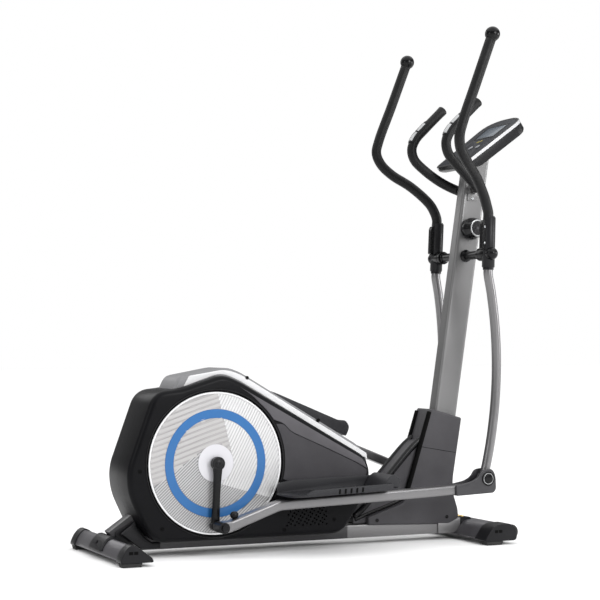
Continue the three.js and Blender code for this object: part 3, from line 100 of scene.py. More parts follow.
class Value:
    """A number that varies over a surface: a node socket that takes part in arithmetic."""

    def __init__(self, tree: bpy.types.NodeTree, socket: bpy.types.NodeSocket) -> None:
        """Wraps a socket.

        Args:
            tree: the tree the socket is in.
            socket: the output that carries the number.
        """
        self.tree = tree
        self.socket = socket

    def _math(self, operation: str, *terms: Any) -> Value:
        """Adds a Math node.

        Args:
            operation: the node's operation.
            terms: its inputs, values or numbers.

        Returns:
            The node's result.
        """
        node = self.tree.nodes.new("ShaderNodeMath")
        node.operation = operation
        for socket, term in zip(node.inputs, terms):
            if isinstance(term, Value):
                self.tree.links.new(term.socket, socket)
            else:
                socket.default_value = term
        return Value(self.tree, node.outputs[0])

    def __add__(self, other: Any) -> Value:
        """Sum."""
        return self._math("ADD", self, other)

    def __radd__(self, other: Any) -> Value:
        """Sum, number first."""
        return self._math("ADD", other, self)

    def __sub__(self, other: Any) -> Value:
        """Difference."""
        return self._math("SUBTRACT", self, other)

    def __rsub__(self, other: Any) -> Value:
        """Difference, number first."""
        return self._math("SUBTRACT", other, self)

    def __mul__(self, other: Any) -> Value:
        """Product."""
        return self._math("MULTIPLY", self, other)

    def __rmul__(self, other: Any) -> Value:
        """Product, number first."""
        return self._math("MULTIPLY", other, self)

    def __gt__(self, other: Any) -> Value:
        """1 where this is greater, else 0."""
        return self._math("GREATER_THAN", self, other)

    def __lt__(self, other: Any) -> Value:
        """1 where this is less, else 0."""
        return self._math("LESS_THAN", self, other)

    def hypot(self, other: Value) -> Value:
        """Length of the pair of numbers."""
        return self._math("SQRT", self * self + other * other)

    def sine(self) -> Value:
        """Sine of an angle in radians."""
        return self._math("SINE", self)

    def fraction(self) -> Value:
        """The part after the decimal point."""
        return self._math("FRACT", self)

    def steps(self, low: float, high: float) -> Value:
        """Smooth ramp from 0 to 1.

        Args:
            low: where it leaves 0.
            high: where it reaches 1.

        Returns:
            The ramp.
        """
        node = self.tree.nodes.new("ShaderNodeMapRange")
        node.interpolation_type = "SMOOTHSTEP"
        node.inputs["From Min"].default_value = low
        node.inputs["From Max"].default_value = high
        self.tree.links.new(self.socket, node.inputs["Value"])
        return Value(self.tree, node.outputs["Result"])


class Bench:
    """The node tree of one material while it is made."""

    def __init__(self, name: str) -> None:
        """Starts a material.

        Args:
            name: the material's name.
        """
        self.material = bpy.data.materials.new(name)
        self.material.use_nodes = True
        self.tree = self.material.node_tree
        self.shader = self.tree.nodes["Principled BSDF"]
        self.place = self.node("ShaderNodeTexCoord", output="Object")
        parts = self.node("ShaderNodeSeparateXYZ", inputs={"Vector": self.place})
        outputs = parts.socket.node.outputs
        self.x, self.y, self.z = (Value(self.tree, socket) for socket in outputs)

    def node(
        self,
        kind: str,
        settings: dict[str, Any] | None = None,
        inputs: dict[Any, Any] | None = None,
        output: Any = 0,
    ) -> Value:
        """Adds any node.

        Args:
            kind: the node's type.
            settings: its properties, set first.
            inputs: its sockets' values or links.
            output: the output to give back, by name or number.

        Returns:
            That output.
        """
        node = self.tree.nodes.new(kind)
        for key, item in (settings or {}).items():
            setattr(node, key, item)
        for key, item in (inputs or {}).items():
            if isinstance(item, Value):
                self.tree.links.new(item.socket, node.inputs[key])
            else:
                node.inputs[key].default_value = item
        return Value(self.tree, node.outputs[output])

    def stretched(self, scale: Point) -> Value:
        """The place on the piece, scaled along each axis.

        Args:
            scale: the three scales.

        Returns:
            The scaled vector.
        """
        settings = {"operation": "MULTIPLY"}
        return self.node("ShaderNodeVectorMath", settings, {0: self.place, 1: scale})

    def noise(self, scale: float, detail: float = 3.0, where: Value | None = None) -> Value:
        """Cloudy noise from 0 to 1.

        Args:
            scale: features per metre.
            detail: octaves.
            where: the vector to use in place of the place on the piece.

        Returns:
            The noise.
        """
        inputs = {"Vector": where or self.place, "Scale": scale, "Detail": detail}
        return self.node("ShaderNodeTexNoise", None, inputs, "Fac")

    def cells(self, scale: float) -> Value:
        """Distance to the nearest of many scattered points.

        Args:
            scale: points per metre.

        Returns:
            The distance.
        """
        inputs = {"Vector": self.place, "Scale": scale}
        return self.node("ShaderNodeTexVoronoi", None, inputs, "Distance")

    def mix(self, share: Any, low: Any, high: Any) -> Value:
        """Mixes two colours.

        Args:
            share: how much of the second.
            low: the first, a colour or a value.
            high: the second.

        Returns:
            The mixed colour.
        """

        def full(colour: Any) -> Any:
            """A colour with its alpha."""
            return colour if isinstance(colour, Value) else (*colour, 1.0)

        inputs = {0: share, 6: full(low), 7: full(high)}
        return self.node("ShaderNodeMix", {"data_type": "RGBA"}, inputs, 2)

    def bump(self, height: Value, distance: float, strength: float = 1.0) -> Value:
        """A bumped normal.

        Args:
            height: the relief, 0 to 1.
            distance: its depth in metres.
            strength: how much of it shows.

        Returns:
            The normal.
        """
        inputs = {"Height": height, "Distance": distance, "Strength": strength}
        return self.node("ShaderNodeBump", None, inputs)

    def finish(self, **sockets: Any) -> bpy.types.Material:
        """Sets the shader's sockets.

        Args:
            sockets: values or links by socket name, with _ for a space.

        Returns:
            The finished material.
        """
        for key, item in sockets.items():
            socket = self.shader.inputs[key.replace("_", " ")]
            if isinstance(item, Value):
                self.tree.links.new(item.socket, socket)
            elif isinstance(item, tuple) and len(item) == 3 and len(socket.default_value) == 4:
                socket.default_value = (*item, 1.0)
            else:
                socket.default_value = item
        return self.material


# ---------------------------------------------------------------- finishes


@dataclass(frozen=True)
class Finish:
    """A named surface finish; each kind of finish makes its own material once."""

    name: str
    slot: str
    made: ClassVar[dict[str, bpy.types.Material]] = {}

    def material(self) -> bpy.types.Material:
        """The finish's material, made at first use.

        Returns:
            The material.
        """
        if self.name not in self.made:
            self.made[self.name] = self.make(Bench(self.name))
        return self.made[self.name]

    def make(self, bench: Bench) -> bpy.types.Material:
        """Makes the material.

        Args:
            bench: the new material's tree.

        Returns:
            The finished material.
        """
        raise NotImplementedError


@dataclass(frozen=True)
class Moulding(Finish):
    """Injection-moulded plastic with a spark-eroded grain, handling marks and a little dust."""

    colour: Colour
    roughness: float = 0.42
    grain: float = 1.0
    specular: float = 0.5
    dust: float = 0.35

    def make(self, bench: Bench) -> bpy.types.Material:
        """Makes the material.

        Args:
            bench: the new material's tree.

        Returns:
            The finished material.
        """
        grain = bench.cells(1500.0)
        fine = bench.noise(2600.0, 2.0)
        wear = bench.noise(9.0, 4.0)
        scuff = bench.noise(60.0, 5.0, bench.stretched((1.0, 1.0, 4.0)))
        marks = scuff.steps(0.58, 0.74) * wear.steps(0.42, 0.7)
        lighter = tuple(c * 1.35 + 0.012 for c in self.colour)
        darker = tuple(c * 0.82 for c in self.colour)
        base = bench.mix(wear.steps(0.3, 0.7), darker, self.colour)
        base = bench.mix(marks * self.dust, base, lighter)
        speck = bench.cells(420.0).steps(0.1, 0.02) * self.dust * 0.3
        base = bench.mix(speck, base, tuple(c * 1.7 + 0.02 for c in self.colour))
        rough = self.roughness + 0.1 * wear + 0.1 * marks - 0.05
        relief = grain * 0.6 + fine * 0.4
        normal = bench.bump(relief, 0.00012 * self.grain, 0.7)
        return bench.finish(
            Base_Color=base, Roughness=rough, Normal=normal, Specular_IOR_Level=self.specular
        )


@dataclass(frozen=True)
class PowderCoat(Finish):
    """Metallic powder coat on steel: orange peel, bright flakes and drawn tonal bands."""

    colour: Colour
    roughness: float = 0.36
    metallic: float = 0.55

    def make(self, bench: Bench) -> bpy.types.Material:
        """Makes the material.

        Args:
            bench: the new material's tree.

        Returns:
            The finished material.
        """
        peel = bench.noise(420.0, 3.0)
        flake = bench.cells(2600.0).steps(0.16, 0.04)
        tone = bench.noise(6.0, 3.0)
        pale = tuple(min(c * 1.5 + 0.03, 1.0) for c in self.colour)
        base = bench.mix(tone.steps(0.25, 0.75), tuple(c * 0.9 for c in self.colour), self.colour)
        base = bench.mix(flake * 0.5, base, pale)
        rough = self.roughness + 0.08 * tone - 0.1 * flake
        metal = self.metallic + 0.25 * flake
        normal = bench.bump(peel, 0.00018, 0.6)
        return bench.finish(
            Base_Color=base, Roughness=rough, Metallic=metal, Normal=normal, Coat_Weight=0.15
        )


@dataclass(frozen=True)
class FrameCoat(PowderCoat):
    """The base frame's coat: pale in front, and dark from the drive housing rearwards."""

    dark: Colour = (0.032, 0.031, 0.034)
    border: float = 0.095

    def make(self, bench: Bench) -> bpy.types.Material:
        """Makes the material.

        Args:
            bench: the new material's tree.

        Returns:
            The finished material.
        """
        peel = bench.noise(420.0, 3.0)
        flake = bench.cells(2600.0).steps(0.16, 0.04)
        tone = bench.noise(6.0, 3.0)
        front = bench.x.steps(self.border - 0.002, self.border + 0.002)
        base = bench.mix(front, self.dark, self.colour)
        base = bench.mix(flake * 0.3, base, tuple(c * 1.4 for c in self.colour))
        rough = self.roughness + 0.08 * tone - 0.1 * flake
        normal = bench.bump(peel, 0.00018, 0.6)
        return bench.finish(
            Base_Color=base, Roughness=rough, Metallic=self.metallic * front, Normal=normal,
            Coat_Weight=0.1,
        )


@dataclass(frozen=True)
class Foam(Finish):
    """Closed-cell foam sleeve: open pores, a matte skin and a soft sheen."""

    colour: Colour

    def make(self, bench: Bench) -> bpy.types.Material:
        """Makes the material.

        Args:
            bench: the new material's tree.

        Returns:
            The finished material.
        """
        pores = bench.cells(900.0)
        lumps = bench.noise(110.0, 4.0)
        tone = bench.noise(14.0, 3.0)
        dark = tuple(c * 0.6 for c in self.colour)
        worn = tuple(c * 1.8 + 0.006 for c in self.colour)
        base = bench.mix(pores.steps(0.05, 0.5), dark, self.colour)
        base = bench.mix(tone.steps(0.5, 0.8) * 0.5, base, worn)
        normal = bench.bump(pores * 0.6 + lumps * 0.5, 0.0003, 0.8)
        rough = 0.56 + 0.16 * lumps
        return bench.finish(
            Base_Color=base, Roughness=rough - 0.18, Normal=normal, Specular_IOR_Level=0.24,
            Sheen_Weight=0.02, Sheen_Roughness=0.4,
        )


@dataclass(frozen=True)
class Rubber(Finish):
    """Moulded rubber with fine moulding lines and bloom."""

    colour: Colour

    def make(self, bench: Bench) -> bpy.types.Material:
        """Makes the material.

        Args:
            bench: the new material's tree.

        Returns:
            The finished material.
        """
        bloom = bench.noise(28.0, 5.0)
        grit = bench.noise(1400.0, 2.0)
        pale = tuple(c * 2.2 + 0.02 for c in self.colour)
        base = bench.mix(bloom.steps(0.5, 0.85) * 0.5, self.colour, pale)
        lines = (bench.y * 2200.0).sine() * 0.5 + 0.5
        normal = bench.bump(grit * 0.7 + lines * 0.3, 0.0002, 0.6)
        return bench.finish(Base_Color=base, Roughness=0.62 + 0.2 * bloom, Normal=normal)


@dataclass(frozen=True)
class BareMetal(Finish):
    """Machined or plated metal with turning rings about an axis along Y."""

    colour: Colour
    roughness: float = 0.25
    centre: tuple[float, float] = (0.0, 0.0)
    rings: float = 1.0

    def make(self, bench: Bench) -> bpy.types.Material:
        """Makes the material.

        Args:
            bench: the new material's tree.

        Returns:
            The finished material.
        """
        reach = (bench.x - self.centre[0]).hypot(bench.z - self.centre[1])
        lathe = (reach * 5200.0 + bench.noise(30.0) * 6.0).sine() * 0.5 + 0.5
        smear = bench.noise(40.0, 4.0)
        stain = tuple(c * 0.72 for c in self.colour)
        base = bench.mix(smear.steps(0.45, 0.8), self.colour, stain)
        rough = self.roughness + 0.12 * smear + 0.05 * lathe
        normal = bench.bump(lathe, 0.00006 * self.rings, 0.5)
        return bench.finish(Base_Color=base, Roughness=rough, Metallic=1.0, Normal=normal)


@dataclass(frozen=True)
class Lacquer(Finish):
    """Painted, clear-coated plastic with metallic flake."""

    colour: Colour
    roughness: float = 0.3
    flake: float = 0.25
    metallic: float = 0.2
    coat: float = 0.5

    def make(self, bench: Bench) -> bpy.types.Material:
        """Makes the material.

        Args:
            bench: the new material's tree.

        Returns:
            The finished material.
        """
        glitter = bench.cells(3200.0).steps(0.14, 0.03)
        cloud = bench.noise(7.0, 4.0)
        peel = bench.noise(300.0, 2.0)
        shade = tuple(c * 0.94 for c in self.colour)
        bright = tuple(min(1.0, c * 1.12 + 0.02) for c in self.colour)
        base = bench.mix(cloud.steps(0.3, 0.7), shade, self.colour)
        base = bench.mix(glitter * self.flake, base, bright)
        rough = self.roughness + 0.08 * cloud
        normal = bench.bump(peel, 0.00006, 0.5)
        return bench.finish(
            Base_Color=base, Roughness=rough, Metallic=self.metallic, Normal=normal,
            Coat_Weight=self.coat, Coat_Roughness=0.08,
        )


@dataclass(frozen=True)
class Ribbing(Finish):
    """Silver paint with darker parallel lines at an angle in the side's own plane: the lines are
    painted shade between the disc's louvre ribs.
    """

    colour: Colour
    # line: the darker colour of the lines, painted shade between the ribs
    line: Colour
    angle: float
    pitch: float
    share: float = 0.3
    roughness: float = 0.34

    def make(self, bench: Bench) -> bpy.types.Material:
        """Makes the material.

        Args:
            bench: the new material's tree.

        Returns:
            The finished material.
        """
        slope = math.radians(self.angle)
        across = bench.z * math.cos(slope) - bench.x * math.sin(slope)
        wave = (across * (1.0 / self.pitch) + 40.0).fraction()
        cloud = bench.noise(8.0, 3.0)
        glitter = bench.cells(3000.0).steps(0.14, 0.03)
        paint = bench.mix(cloud.steps(0.3, 0.75), tuple(c * 0.95 for c in self.colour), self.colour)
        paint = bench.mix(glitter * 0.2, paint, tuple(min(1.0, c * 1.15) for c in self.colour))
        # Painted shade: the darker lines stand for the shade between the louvre ribs.
        base = bench.mix((wave < self.share) * 0.9, paint, self.line)
        normal = bench.bump(wave, 0.0004, 0.5)
        rough = self.roughness + 0.1 * cloud
        return bench.finish(Base_Color=base, Roughness=rough, Metallic=0.3, Normal=normal)


@dataclass(frozen=True)
class OverlayFilm(Finish):
    """A printed film: a fine leather-like emboss, with a cloudy mix of two dark tones."""

    colour: Colour
    accent: Colour

    def make(self, bench: Bench) -> bpy.types.Material:
        """Makes the material.

        Args:
            bench: the new material's tree.

        Returns:
            The finished material.
        """
        emboss = bench.noise(900.0, 2.0)
        cloud = bench.noise(12.0, 3.0)
        base = bench.mix(cloud.steps(0.3, 0.7), self.colour, self.accent)
        normal = bench.bump(emboss, 0.00008, 0.5)
        return bench.finish(
            Base_Color=base, Roughness=0.42 + 0.06 * cloud, Normal=normal, Specular_IOR_Level=0.12
        )


@dataclass(frozen=True)
class LiquidCrystal(Finish):
    """An unlit liquid-crystal window, with faint segment rows behind a clear lens."""

    colour: Colour
    segment: Colour

    def make(self, bench: Bench) -> bpy.types.Material:
        """Makes the material.

        Args:
            bench: the new material's tree.

        Returns:
            The finished material.
        """
        slope = math.radians(36.5)
        along = bench.x * math.cos(slope) + bench.z * math.sin(slope)
        rows = (along * 62.0).fraction()
        columns = (bench.y * 95.0 + 50.0).fraction()
        bars = (rows > 0.35) * (rows < 0.72) * (columns > 0.2) * (columns < 0.75)
        cloud = bench.noise(20.0, 2.0)
        base = bench.mix(cloud, self.colour, tuple(c * 1.15 for c in self.colour))
        base = bench.mix(bars * 0.35, base, self.segment)
        return bench.finish(
            Base_Color=base, Roughness=0.2 + 0.06 * cloud, Specular_IOR_Level=0.25
        )


CHARCOAL = Moulding("charcoal_moulding", "charcoal_plastic", (0.058, 0.056, 0.061), 0.42, 1.0, 0.22)
HOUSING = Moulding(
    "housing_moulding", "charcoal_plastic", (0.0052, 0.0052, 0.0062), 0.34, 0.8, 0.09, 0.12
)
HOUSING_CREST = Moulding("crest_moulding", "charcoal_plastic", (0.088, 0.084, 0.092), 0.44, 1.1, 0.25)
# The flank's grey is painted light: a lighter copy of the black housing, for the light on the curved
# side below the crease.
FLANK_PAINTED_LIGHT = Moulding("flank_moulding", "charcoal_plastic", (0.048, 0.046, 0.051), 0.44, 1.1, 0.2)
BLACK = Moulding("black_moulding", "black_plastic", (0.0105, 0.0105, 0.012), 0.34, 0.6, 0.2, 0.15)
SATIN_BLACK = Moulding(
    "satin_black_moulding", "black_plastic", (0.0035, 0.0035, 0.0042), 0.24, 0.4, 0.22, 0.1
)
# Dead black: the screws and the shroud seam, and also the painted shade in the shroud channel, the
# tray slots and the cap recesses.
DEEP_BLACK = Moulding("deep_black", "black_plastic", (0.002, 0.002, 0.002), 0.6, 1.0, 0.06, 0.1)
TREAD = Moulding("tread_moulding", "charcoal_plastic", (0.022, 0.022, 0.025), 0.46, 1.6, 0.25)
BRACKET = Moulding("bracket_moulding", "black_plastic", (0.04, 0.039, 0.043), 0.3, 0.5, 0.4, 0.2)
FOAM = Foam("grip_foam", "foam", (0.0034, 0.0034, 0.0038))
TYRE = Rubber("tyre_rubber", "rubber", (0.01, 0.01, 0.01))
BELT = Rubber("belt_rubber", "rubber", (0.012, 0.012, 0.013))
GREY_COAT = PowderCoat("grey_coat", "painted_grey", (0.205, 0.202, 0.206), 0.27, 0.8)
FIN_COAT = PowderCoat("fin_coat", "painted_grey", (0.085, 0.082, 0.09), 0.4, 0.4)
MAST_COAT = PowderCoat("mast_coat", "painted_grey", (0.175, 0.174, 0.175), 0.36, 0.6)
FRAME_COAT = FrameCoat("frame_coat", "pale_grey", (0.2, 0.197, 0.2), 0.34, 0.6)
STEEL = BareMetal("turned_steel", "steel", (0.45, 0.46, 0.47))
AXLE_STEEL = BareMetal("axle_steel", "steel", (0.42, 0.43, 0.44), 0.28, CRANK_CENTRE)
BRAKE_STEEL = BareMetal("bracket_steel", "steel", (0.38, 0.39, 0.4), 0.38, FLYWHEEL_CENTRE)
IRON = BareMetal("cast_iron", "cast_iron", (0.11, 0.11, 0.115), 0.4, FLYWHEEL_CENTRE, 3.0)
CHROME = BareMetal("pulse_chrome", "chrome", (0.4, 0.405, 0.41), 0.24, rings=0.2)
GOLD_ZINC = BareMetal("yellow_zinc", "steel", (0.62, 0.46, 0.2), 0.25)
SILVER = Lacquer("silver_lacquer", "silver_cover", (0.55, 0.55, 0.565))
SPINE_WHITE = Lacquer("spine_lacquer", "silver_cover", (0.7, 0.7, 0.71), 0.26, 0.1, 0.0)
COVER_GREY = Lacquer("cover_lacquer", "silver_cover", (0.2, 0.2, 0.207), 0.5, 0.3, 0.2, 0.05)
BLUE = Lacquer("blue_ring_lacquer", "disc", (0.012, 0.118, 0.335), 0.42, 0.2, 0.25, 0.2)
HUB_WHITE = Lacquer("hub_lacquer", "disc", (0.62, 0.615, 0.65), 0.38, 0.15, 0.1, 0.3)
RIM_BRIGHT = Lacquer("rim_lacquer", "disc", (0.8, 0.8, 0.81), 0.2, 0.1, 0.3, 0.3)
DISC_PAINT = Lacquer("disc_lacquer", "disc", (0.42, 0.42, 0.43), 0.36, 0.2, 0.3, 0.2)
# The rib sectors' different lightness, in the ribs and in their fields below, is painted light and
# shade: lit and shaded copies of one silver, for how each sector's louvres take the light.
RIBS_REAR = Lacquer("rib_lacquer_rear", "disc", (0.46, 0.45, 0.45), 0.34, 0.2, 0.35, 0.2)
RIBS_FRONT = Lacquer("rib_lacquer_front", "disc", (0.66, 0.66, 0.665), 0.36, 0.2, 0.2, 0.2)
RIBS_LOW = Lacquer("rib_lacquer_low", "disc", (0.5, 0.5, 0.505), 0.36, 0.2, 0.3, 0.2)
FIELD_REAR = Ribbing("rib_field_rear", "disc", (0.38, 0.37, 0.372), (0.3, 0.29, 0.292), 20.0, 0.0075)
FIELD_FRONT = Ribbing("rib_field_front", "disc", (0.52, 0.52, 0.53), (0.38, 0.38, 0.385), 62.0, 0.0043)
FIELD_LOW = Ribbing("rib_field_low", "disc", (0.24, 0.24, 0.247), (0.12, 0.12, 0.12), 42.0, 0.0035)
FACE_FILM = OverlayFilm("console_film", "console_face", (0.013, 0.0145, 0.019), (0.02, 0.0222, 0.029))
WINDOW = LiquidCrystal("display_lens", "display", (0.105, 0.125, 0.15), (0.05, 0.06, 0.075))
BUTTON = Moulding("button_moulding", "button", (0.28, 0.29, 0.31), 0.4, 0.6)
YELLOW = Lacquer("yellow_print", "console_face", (0.62, 0.5, 0.03), 0.4, 0.0, 0.0, 0.1)


# ---------------------------------------------------------------- shapes


def rounded(corners: Sequence[Corner], steps: int = 8) -> list[tuple[float, float]]:
    """A closed outline whose corners are rounded by a curve tangent to both sides.

    Args:
        corners: across, up and corner radius of each corner, in order.
        steps: segments round a corner.

    Returns:
        The outline's points.
    """
    points: list[tuple[float, float]] = []
    for i, (u, v, radius) in enumerate(corners):
        corner = Vector((u, v))
        before = Vector(corners[i - 1][:2])
        after = Vector(corners[(i + 1) % len(corners)][:2])
        reach = min(radius, (corner - before).length * 0.48, (corner - after).length * 0.48)
        if reach <= 0:
            points.append((u, v))
            continue
        enter = corner + (before - corner).normalized() * reach
        leave = corner + (after - corner).normalized() * reach
        for k in range(steps + 1):
            t = k / steps
            p = enter * (1 - t) ** 2 + corner * (2 * t * (1 - t)) + leave * t**2
            points.append((p.x, p.y))
    return points


def rectangle(half_width: float, half_height: float, radius: float) -> list[Corner]:
    """A rectangle about the origin, anticlockwise.

    Args:
        half_width: half of its size across.
        half_height: half of its size up.
        radius: the radius of its corners.

    Returns:
        Its corners.
    """
    u, v = half_width, half_height
    return [(-u, -v, radius), (u, -v, radius), (u, v, radius), (-u, v, radius)]


def shrunk(corners: Sequence[Corner], wall: float) -> list[Corner]:
    """The same corners moved inwards by a wall, for an outline that runs anticlockwise.

    Args:
        corners: the outline's corners.
        wall: how far inwards, or outwards if negative.

    Returns:
        The moved corners, with the same number of rounding points each.
    """
    moved = []
    for i, (u, v, radius) in enumerate(corners):
        corner = Vector((u, v))
        before = (corner - Vector(corners[i - 1][:2])).normalized()
        onward = (Vector(corners[(i + 1) % len(corners)][:2]) - corner).normalized()
        normal = Vector((-before.y - onward.y, before.x + onward.x)).normalized()
        slant = normal.x * -before.y + normal.y * before.x
        corner += normal * (wall / slant)
        moved.append((corner.x, corner.y, max(radius - wall, 0.0004) if radius > 0 else 0.0))
    return moved


def smooth_path(points: Sequence[Point], steps: int = 10) -> list[Vector]:
    """A centripetal Catmull-Rom curve through the points.

    Args:
        points: what the curve passes through.
        steps: points per span.

    Returns:
        Points along the curve.
    """
    knots = [Vector(p) for p in points]
    ends = [knots[0] * 2 - knots[1], *knots, knots[-1] * 2 - knots[-2]]
    path: list[Vector] = []
    for i in range(1, len(ends) - 2):
        p0, p1, p2, p3 = ends[i - 1 : i + 3]
        t1 = (p1 - p0).length ** 0.5
        t2 = t1 + (p2 - p1).length ** 0.5
        t3 = t2 + (p3 - p2).length ** 0.5
        for k in range(steps):
            t = t1 + (t2 - t1) * k / steps
            a1 = p0 * ((t1 - t) / t1) + p1 * (t / t1)
            a2 = p1 * ((t2 - t) / (t2 - t1)) + p2 * ((t - t1) / (t2 - t1))
            a3 = p2 * ((t3 - t) / (t3 - t2)) + p3 * ((t - t2) / (t3 - t2))
            b1 = a1 * ((t2 - t) / t2) + a2 * (t / t2)
            b2 = a2 * ((t3 - t) / (t3 - t1)) + a3 * ((t - t1) / (t3 - t1))
            path.append(b1 * ((t2 - t) / (t2 - t1)) + b2 * ((t - t1) / (t2 - t1)))
    path.append(knots[-1])
    return path


class Form:
    """A mesh while it is being shaped."""

    def __init__(self) -> None:
        """Starts with nothing."""
        self.bm = bmesh.new()

    def loft(self, rings: Sequence[Sequence[Vector]], capped: bool = True) -> Form:
        """Skins rings of equally many points.

        Args:
            rings: the rings, in order.
            capped: whether the first and last are closed by a face.

        Returns:
            This form.
        """
        made = [[self.bm.verts.new(p) for p in ring] for ring in rings]
        count = len(made[0])
        for low, high in zip(made, made[1:]):
            for i in range(count):
                j = (i + 1) % count
                self.bm.faces.new((low[i], low[j], high[j], high[i]))
        if capped:
            self.bm.faces.new(list(reversed(made[0])))
            self.bm.faces.new(made[-1])
        return self

    def plate(
        self,
        corners: Sequence[Corner],
        near: float,
        far: float,
        edge: float = 0.0015,
        steps: int = 8,
        both: bool = False,
    ) -> Form:
        """An outline made solid between two levels, with its far rim rounded.

        Args:
            corners: the anticlockwise outline.
            near: the level of its back.
            far: the level of its face.
            edge: the rim's rounding.
            steps: segments round a corner.
            both: whether the back's rim is rounded too.

        Returns:
            This form, with across, up and level as X, Y and Z.
        """
        rise = 1 if far > near else -1
        turns = (0.0, 0.3, 0.6, 0.85, 1.0)  # shares of the rim's quarter turn

        def level(inwards: float, at: float) -> list[Vector]:
            """One ring of the loft."""
            return [Vector((u, v, at)) for u, v in rounded(shrunk(corners, inwards), steps)]

        def rim(face: float, into: int, turn: float) -> list[Vector]:
            """One ring of a rounded rim, from the outline (turn 0) to the face (turn 1)."""
            angle = turn * math.pi / 2
            return level(edge * (1 - math.cos(angle)), face + into * (edge - edge * math.sin(angle)))

        rings = [rim(near, rise, t) for t in reversed(turns)] if both else [level(0.0, near)]
        return self.loft([*rings, *(rim(far, -rise, t) for t in turns)])

    def lathe(self, profile: Sequence[tuple[float, float]], segments: int = 64) -> Form:
        """A profile of radius and level turned about the Z axis.

        Args:
            profile: from the lowest to the highest; a zero radius closes an end.
            segments: how many round.

        Returns:
            This form.
        """
        rows = []
        for radius, level in profile:
            if radius <= 1e-7:
                rows.append([self.bm.verts.new((0.0, 0.0, level))])
                continue
            turns = [2 * math.pi * i / segments for i in range(segments)]
            ring = [(radius * math.cos(a), radius * math.sin(a), level) for a in turns]
            rows.append([self.bm.verts.new(point) for point in ring])
        for low, high in zip(rows, rows[1:]):
            for i in range(segments):
                j = (i + 1) % segments
                quad = [low[i % len(low)], low[j % len(low)]]
                quad += [high[j % len(high)], high[i % len(high)]]
                unique = list(dict.fromkeys(quad))
                if len(unique) > 2:
                    self.bm.faces.new(unique)
        return self

    def sweep(
        self,
        path: Sequence[Vector],
        radius: float | Callable[[float], float],
        sides: int = 24,
        dome: float = 0.0,
        flat: float = 1.0,
    ) -> Form:
        """A round bar along a path.

        Args:
            path: its centre line.
            radius: its radius, or a function of the share along it.
            sides: how many sides.
            dome: how far its ends bulge.
            flat: its thickness across as a share of its width.

        Returns:
            This form.
        """
        size = radius if callable(radius) else lambda share: radius
        ahead = [(b - a).normalized() for a, b in zip(path, path[1:])]
        ahead.append(ahead[-1])
        start = Vector((0, 1, 0)) if abs(ahead[0].y) < 0.9 else Vector((1, 0, 0))
        across = (start - ahead[0] * start.dot(ahead[0])).normalized()
        rings = []
        last = len(path) - 1
        for i, (point, forward) in enumerate(zip(path, ahead)):
            if 0 < i < last:
                forward = (ahead[i - 1] + forward).normalized()
            across = (across - forward * across.dot(forward)).normalized()
            up = forward.cross(across)
            r = size(i / last)
            ring = []
            for k in range(sides):
                turn = 2 * math.pi * k / sides
                wide, tall = across * (r * math.cos(turn)), up * (r * flat * math.sin(turn))
                ring.append(point + wide + tall)
            rings.append(ring)
        if dome > 0:
            rings = [
                *self._domed(rings[0], path[0], -ahead[0], dome, True),
                *rings,
                *self._domed(rings[-1], path[-1], ahead[-1], dome, False),
            ]
        return self.loft(rings)

    @staticmethod
    def _domed(
        ring: Sequence[Vector], centre: Vector, out: Vector, dome: float, first: bool
    ) -> list[list[Vector]]:
        """Rings that close an end with a bulge.

        Args:
            ring: the end's ring.
            centre: its middle.
            out: the direction out of the end.
            dome: how far it bulges.
            first: whether it is the first end.

        Returns:
            The extra rings, in sweep order.
        """
        rings = []
        for t in (0.35, 0.65, 0.88, 0.98):
            scale = math.sqrt(max(1 - t * t, 0.0))
            rings.append([centre + (p - centre) * scale + out * (dome * t) for p in ring])
        return list(reversed(rings)) if first else rings

    def moved(self, matrix: Matrix, since: int = 0) -> Form:
        """Moves what was made.

        Args:
            matrix: the move.
            since: the first vertex that moves.

        Returns:
            This form.
        """
        self.bm.verts.ensure_lookup_table()
        bmesh.ops.transform(self.bm, matrix=matrix, verts=self.bm.verts[since:])
        return self

    def copied(self, places: Sequence[Matrix]) -> Form:
        """Repeats what was made at each place.

        Args:
            places: the places of the copies.

        Returns:
            This form.
        """
        pattern = bpy.data.meshes.new("pattern")
        self.bm.to_mesh(pattern)
        self.bm.clear()
        for place in places:
            first = len(self.bm.verts)
            self.bm.from_mesh(pattern)
            self.bm.verts.ensure_lookup_table()
            bmesh.ops.transform(self.bm, matrix=place, verts=self.bm.verts[first:])
        bpy.data.meshes.remove(pattern)
        return self

    def piece(self, name: str, finish: Finish, body: str, crease: float = 35.0) -> bpy.types.Object:
        """Ends the shaping.

        Args:
            name: the piece's name.
            finish: its finish.
            body: the body it rides on.
            crease: the angle above which an edge stays sharp, in degrees.

        Returns:
            The piece.
        """
        bmesh.ops.remove_doubles(self.bm, verts=self.bm.verts, dist=2e-6)
        bmesh.ops.recalc_face_normals(self.bm, faces=self.bm.faces)
        mesh = bpy.data.meshes.new(name)
        self.bm.to_mesh(mesh)
        self.bm.free()
        return dressed(mesh, name, finish, body, crease)


def dressed(
    mesh: bpy.types.Mesh, name: str, finish: Finish, body: str, crease: float = 35.0
) -> bpy.types.Object:
    """Puts a mesh in the scene as a piece.

    Args:
        mesh: the mesh, in the row frame.
        name: the piece's name.
        finish: its finish.
        body: the body it rides on.
        crease: the angle above which an edge stays sharp, in degrees.

    Returns:
        The piece.
    """
    mesh.shade_smooth()
    mesh.set_sharp_from_angle(angle=math.radians(crease))
    mesh.materials.clear()
    mesh.materials.append(finish.material())
    made = bpy.data.objects.new(name, mesh)
    bpy.context.scene.collection.objects.link(made)
    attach(made, body)
    LOG.info("%s rides on %s", name, body)
    return made


def baked(piece: bpy.types.Object) -> bpy.types.Object:
    """Turns a piece's modifiers into its mesh.

    Args:
        piece: the piece.

    Returns:
        The same piece.
    """
    graph = bpy.context.evaluated_depsgraph_get()
    mesh = bpy.data.meshes.new_from_object(piece.evaluated_get(graph))
    piece.modifiers.clear()
    piece.data = mesh
    return piece


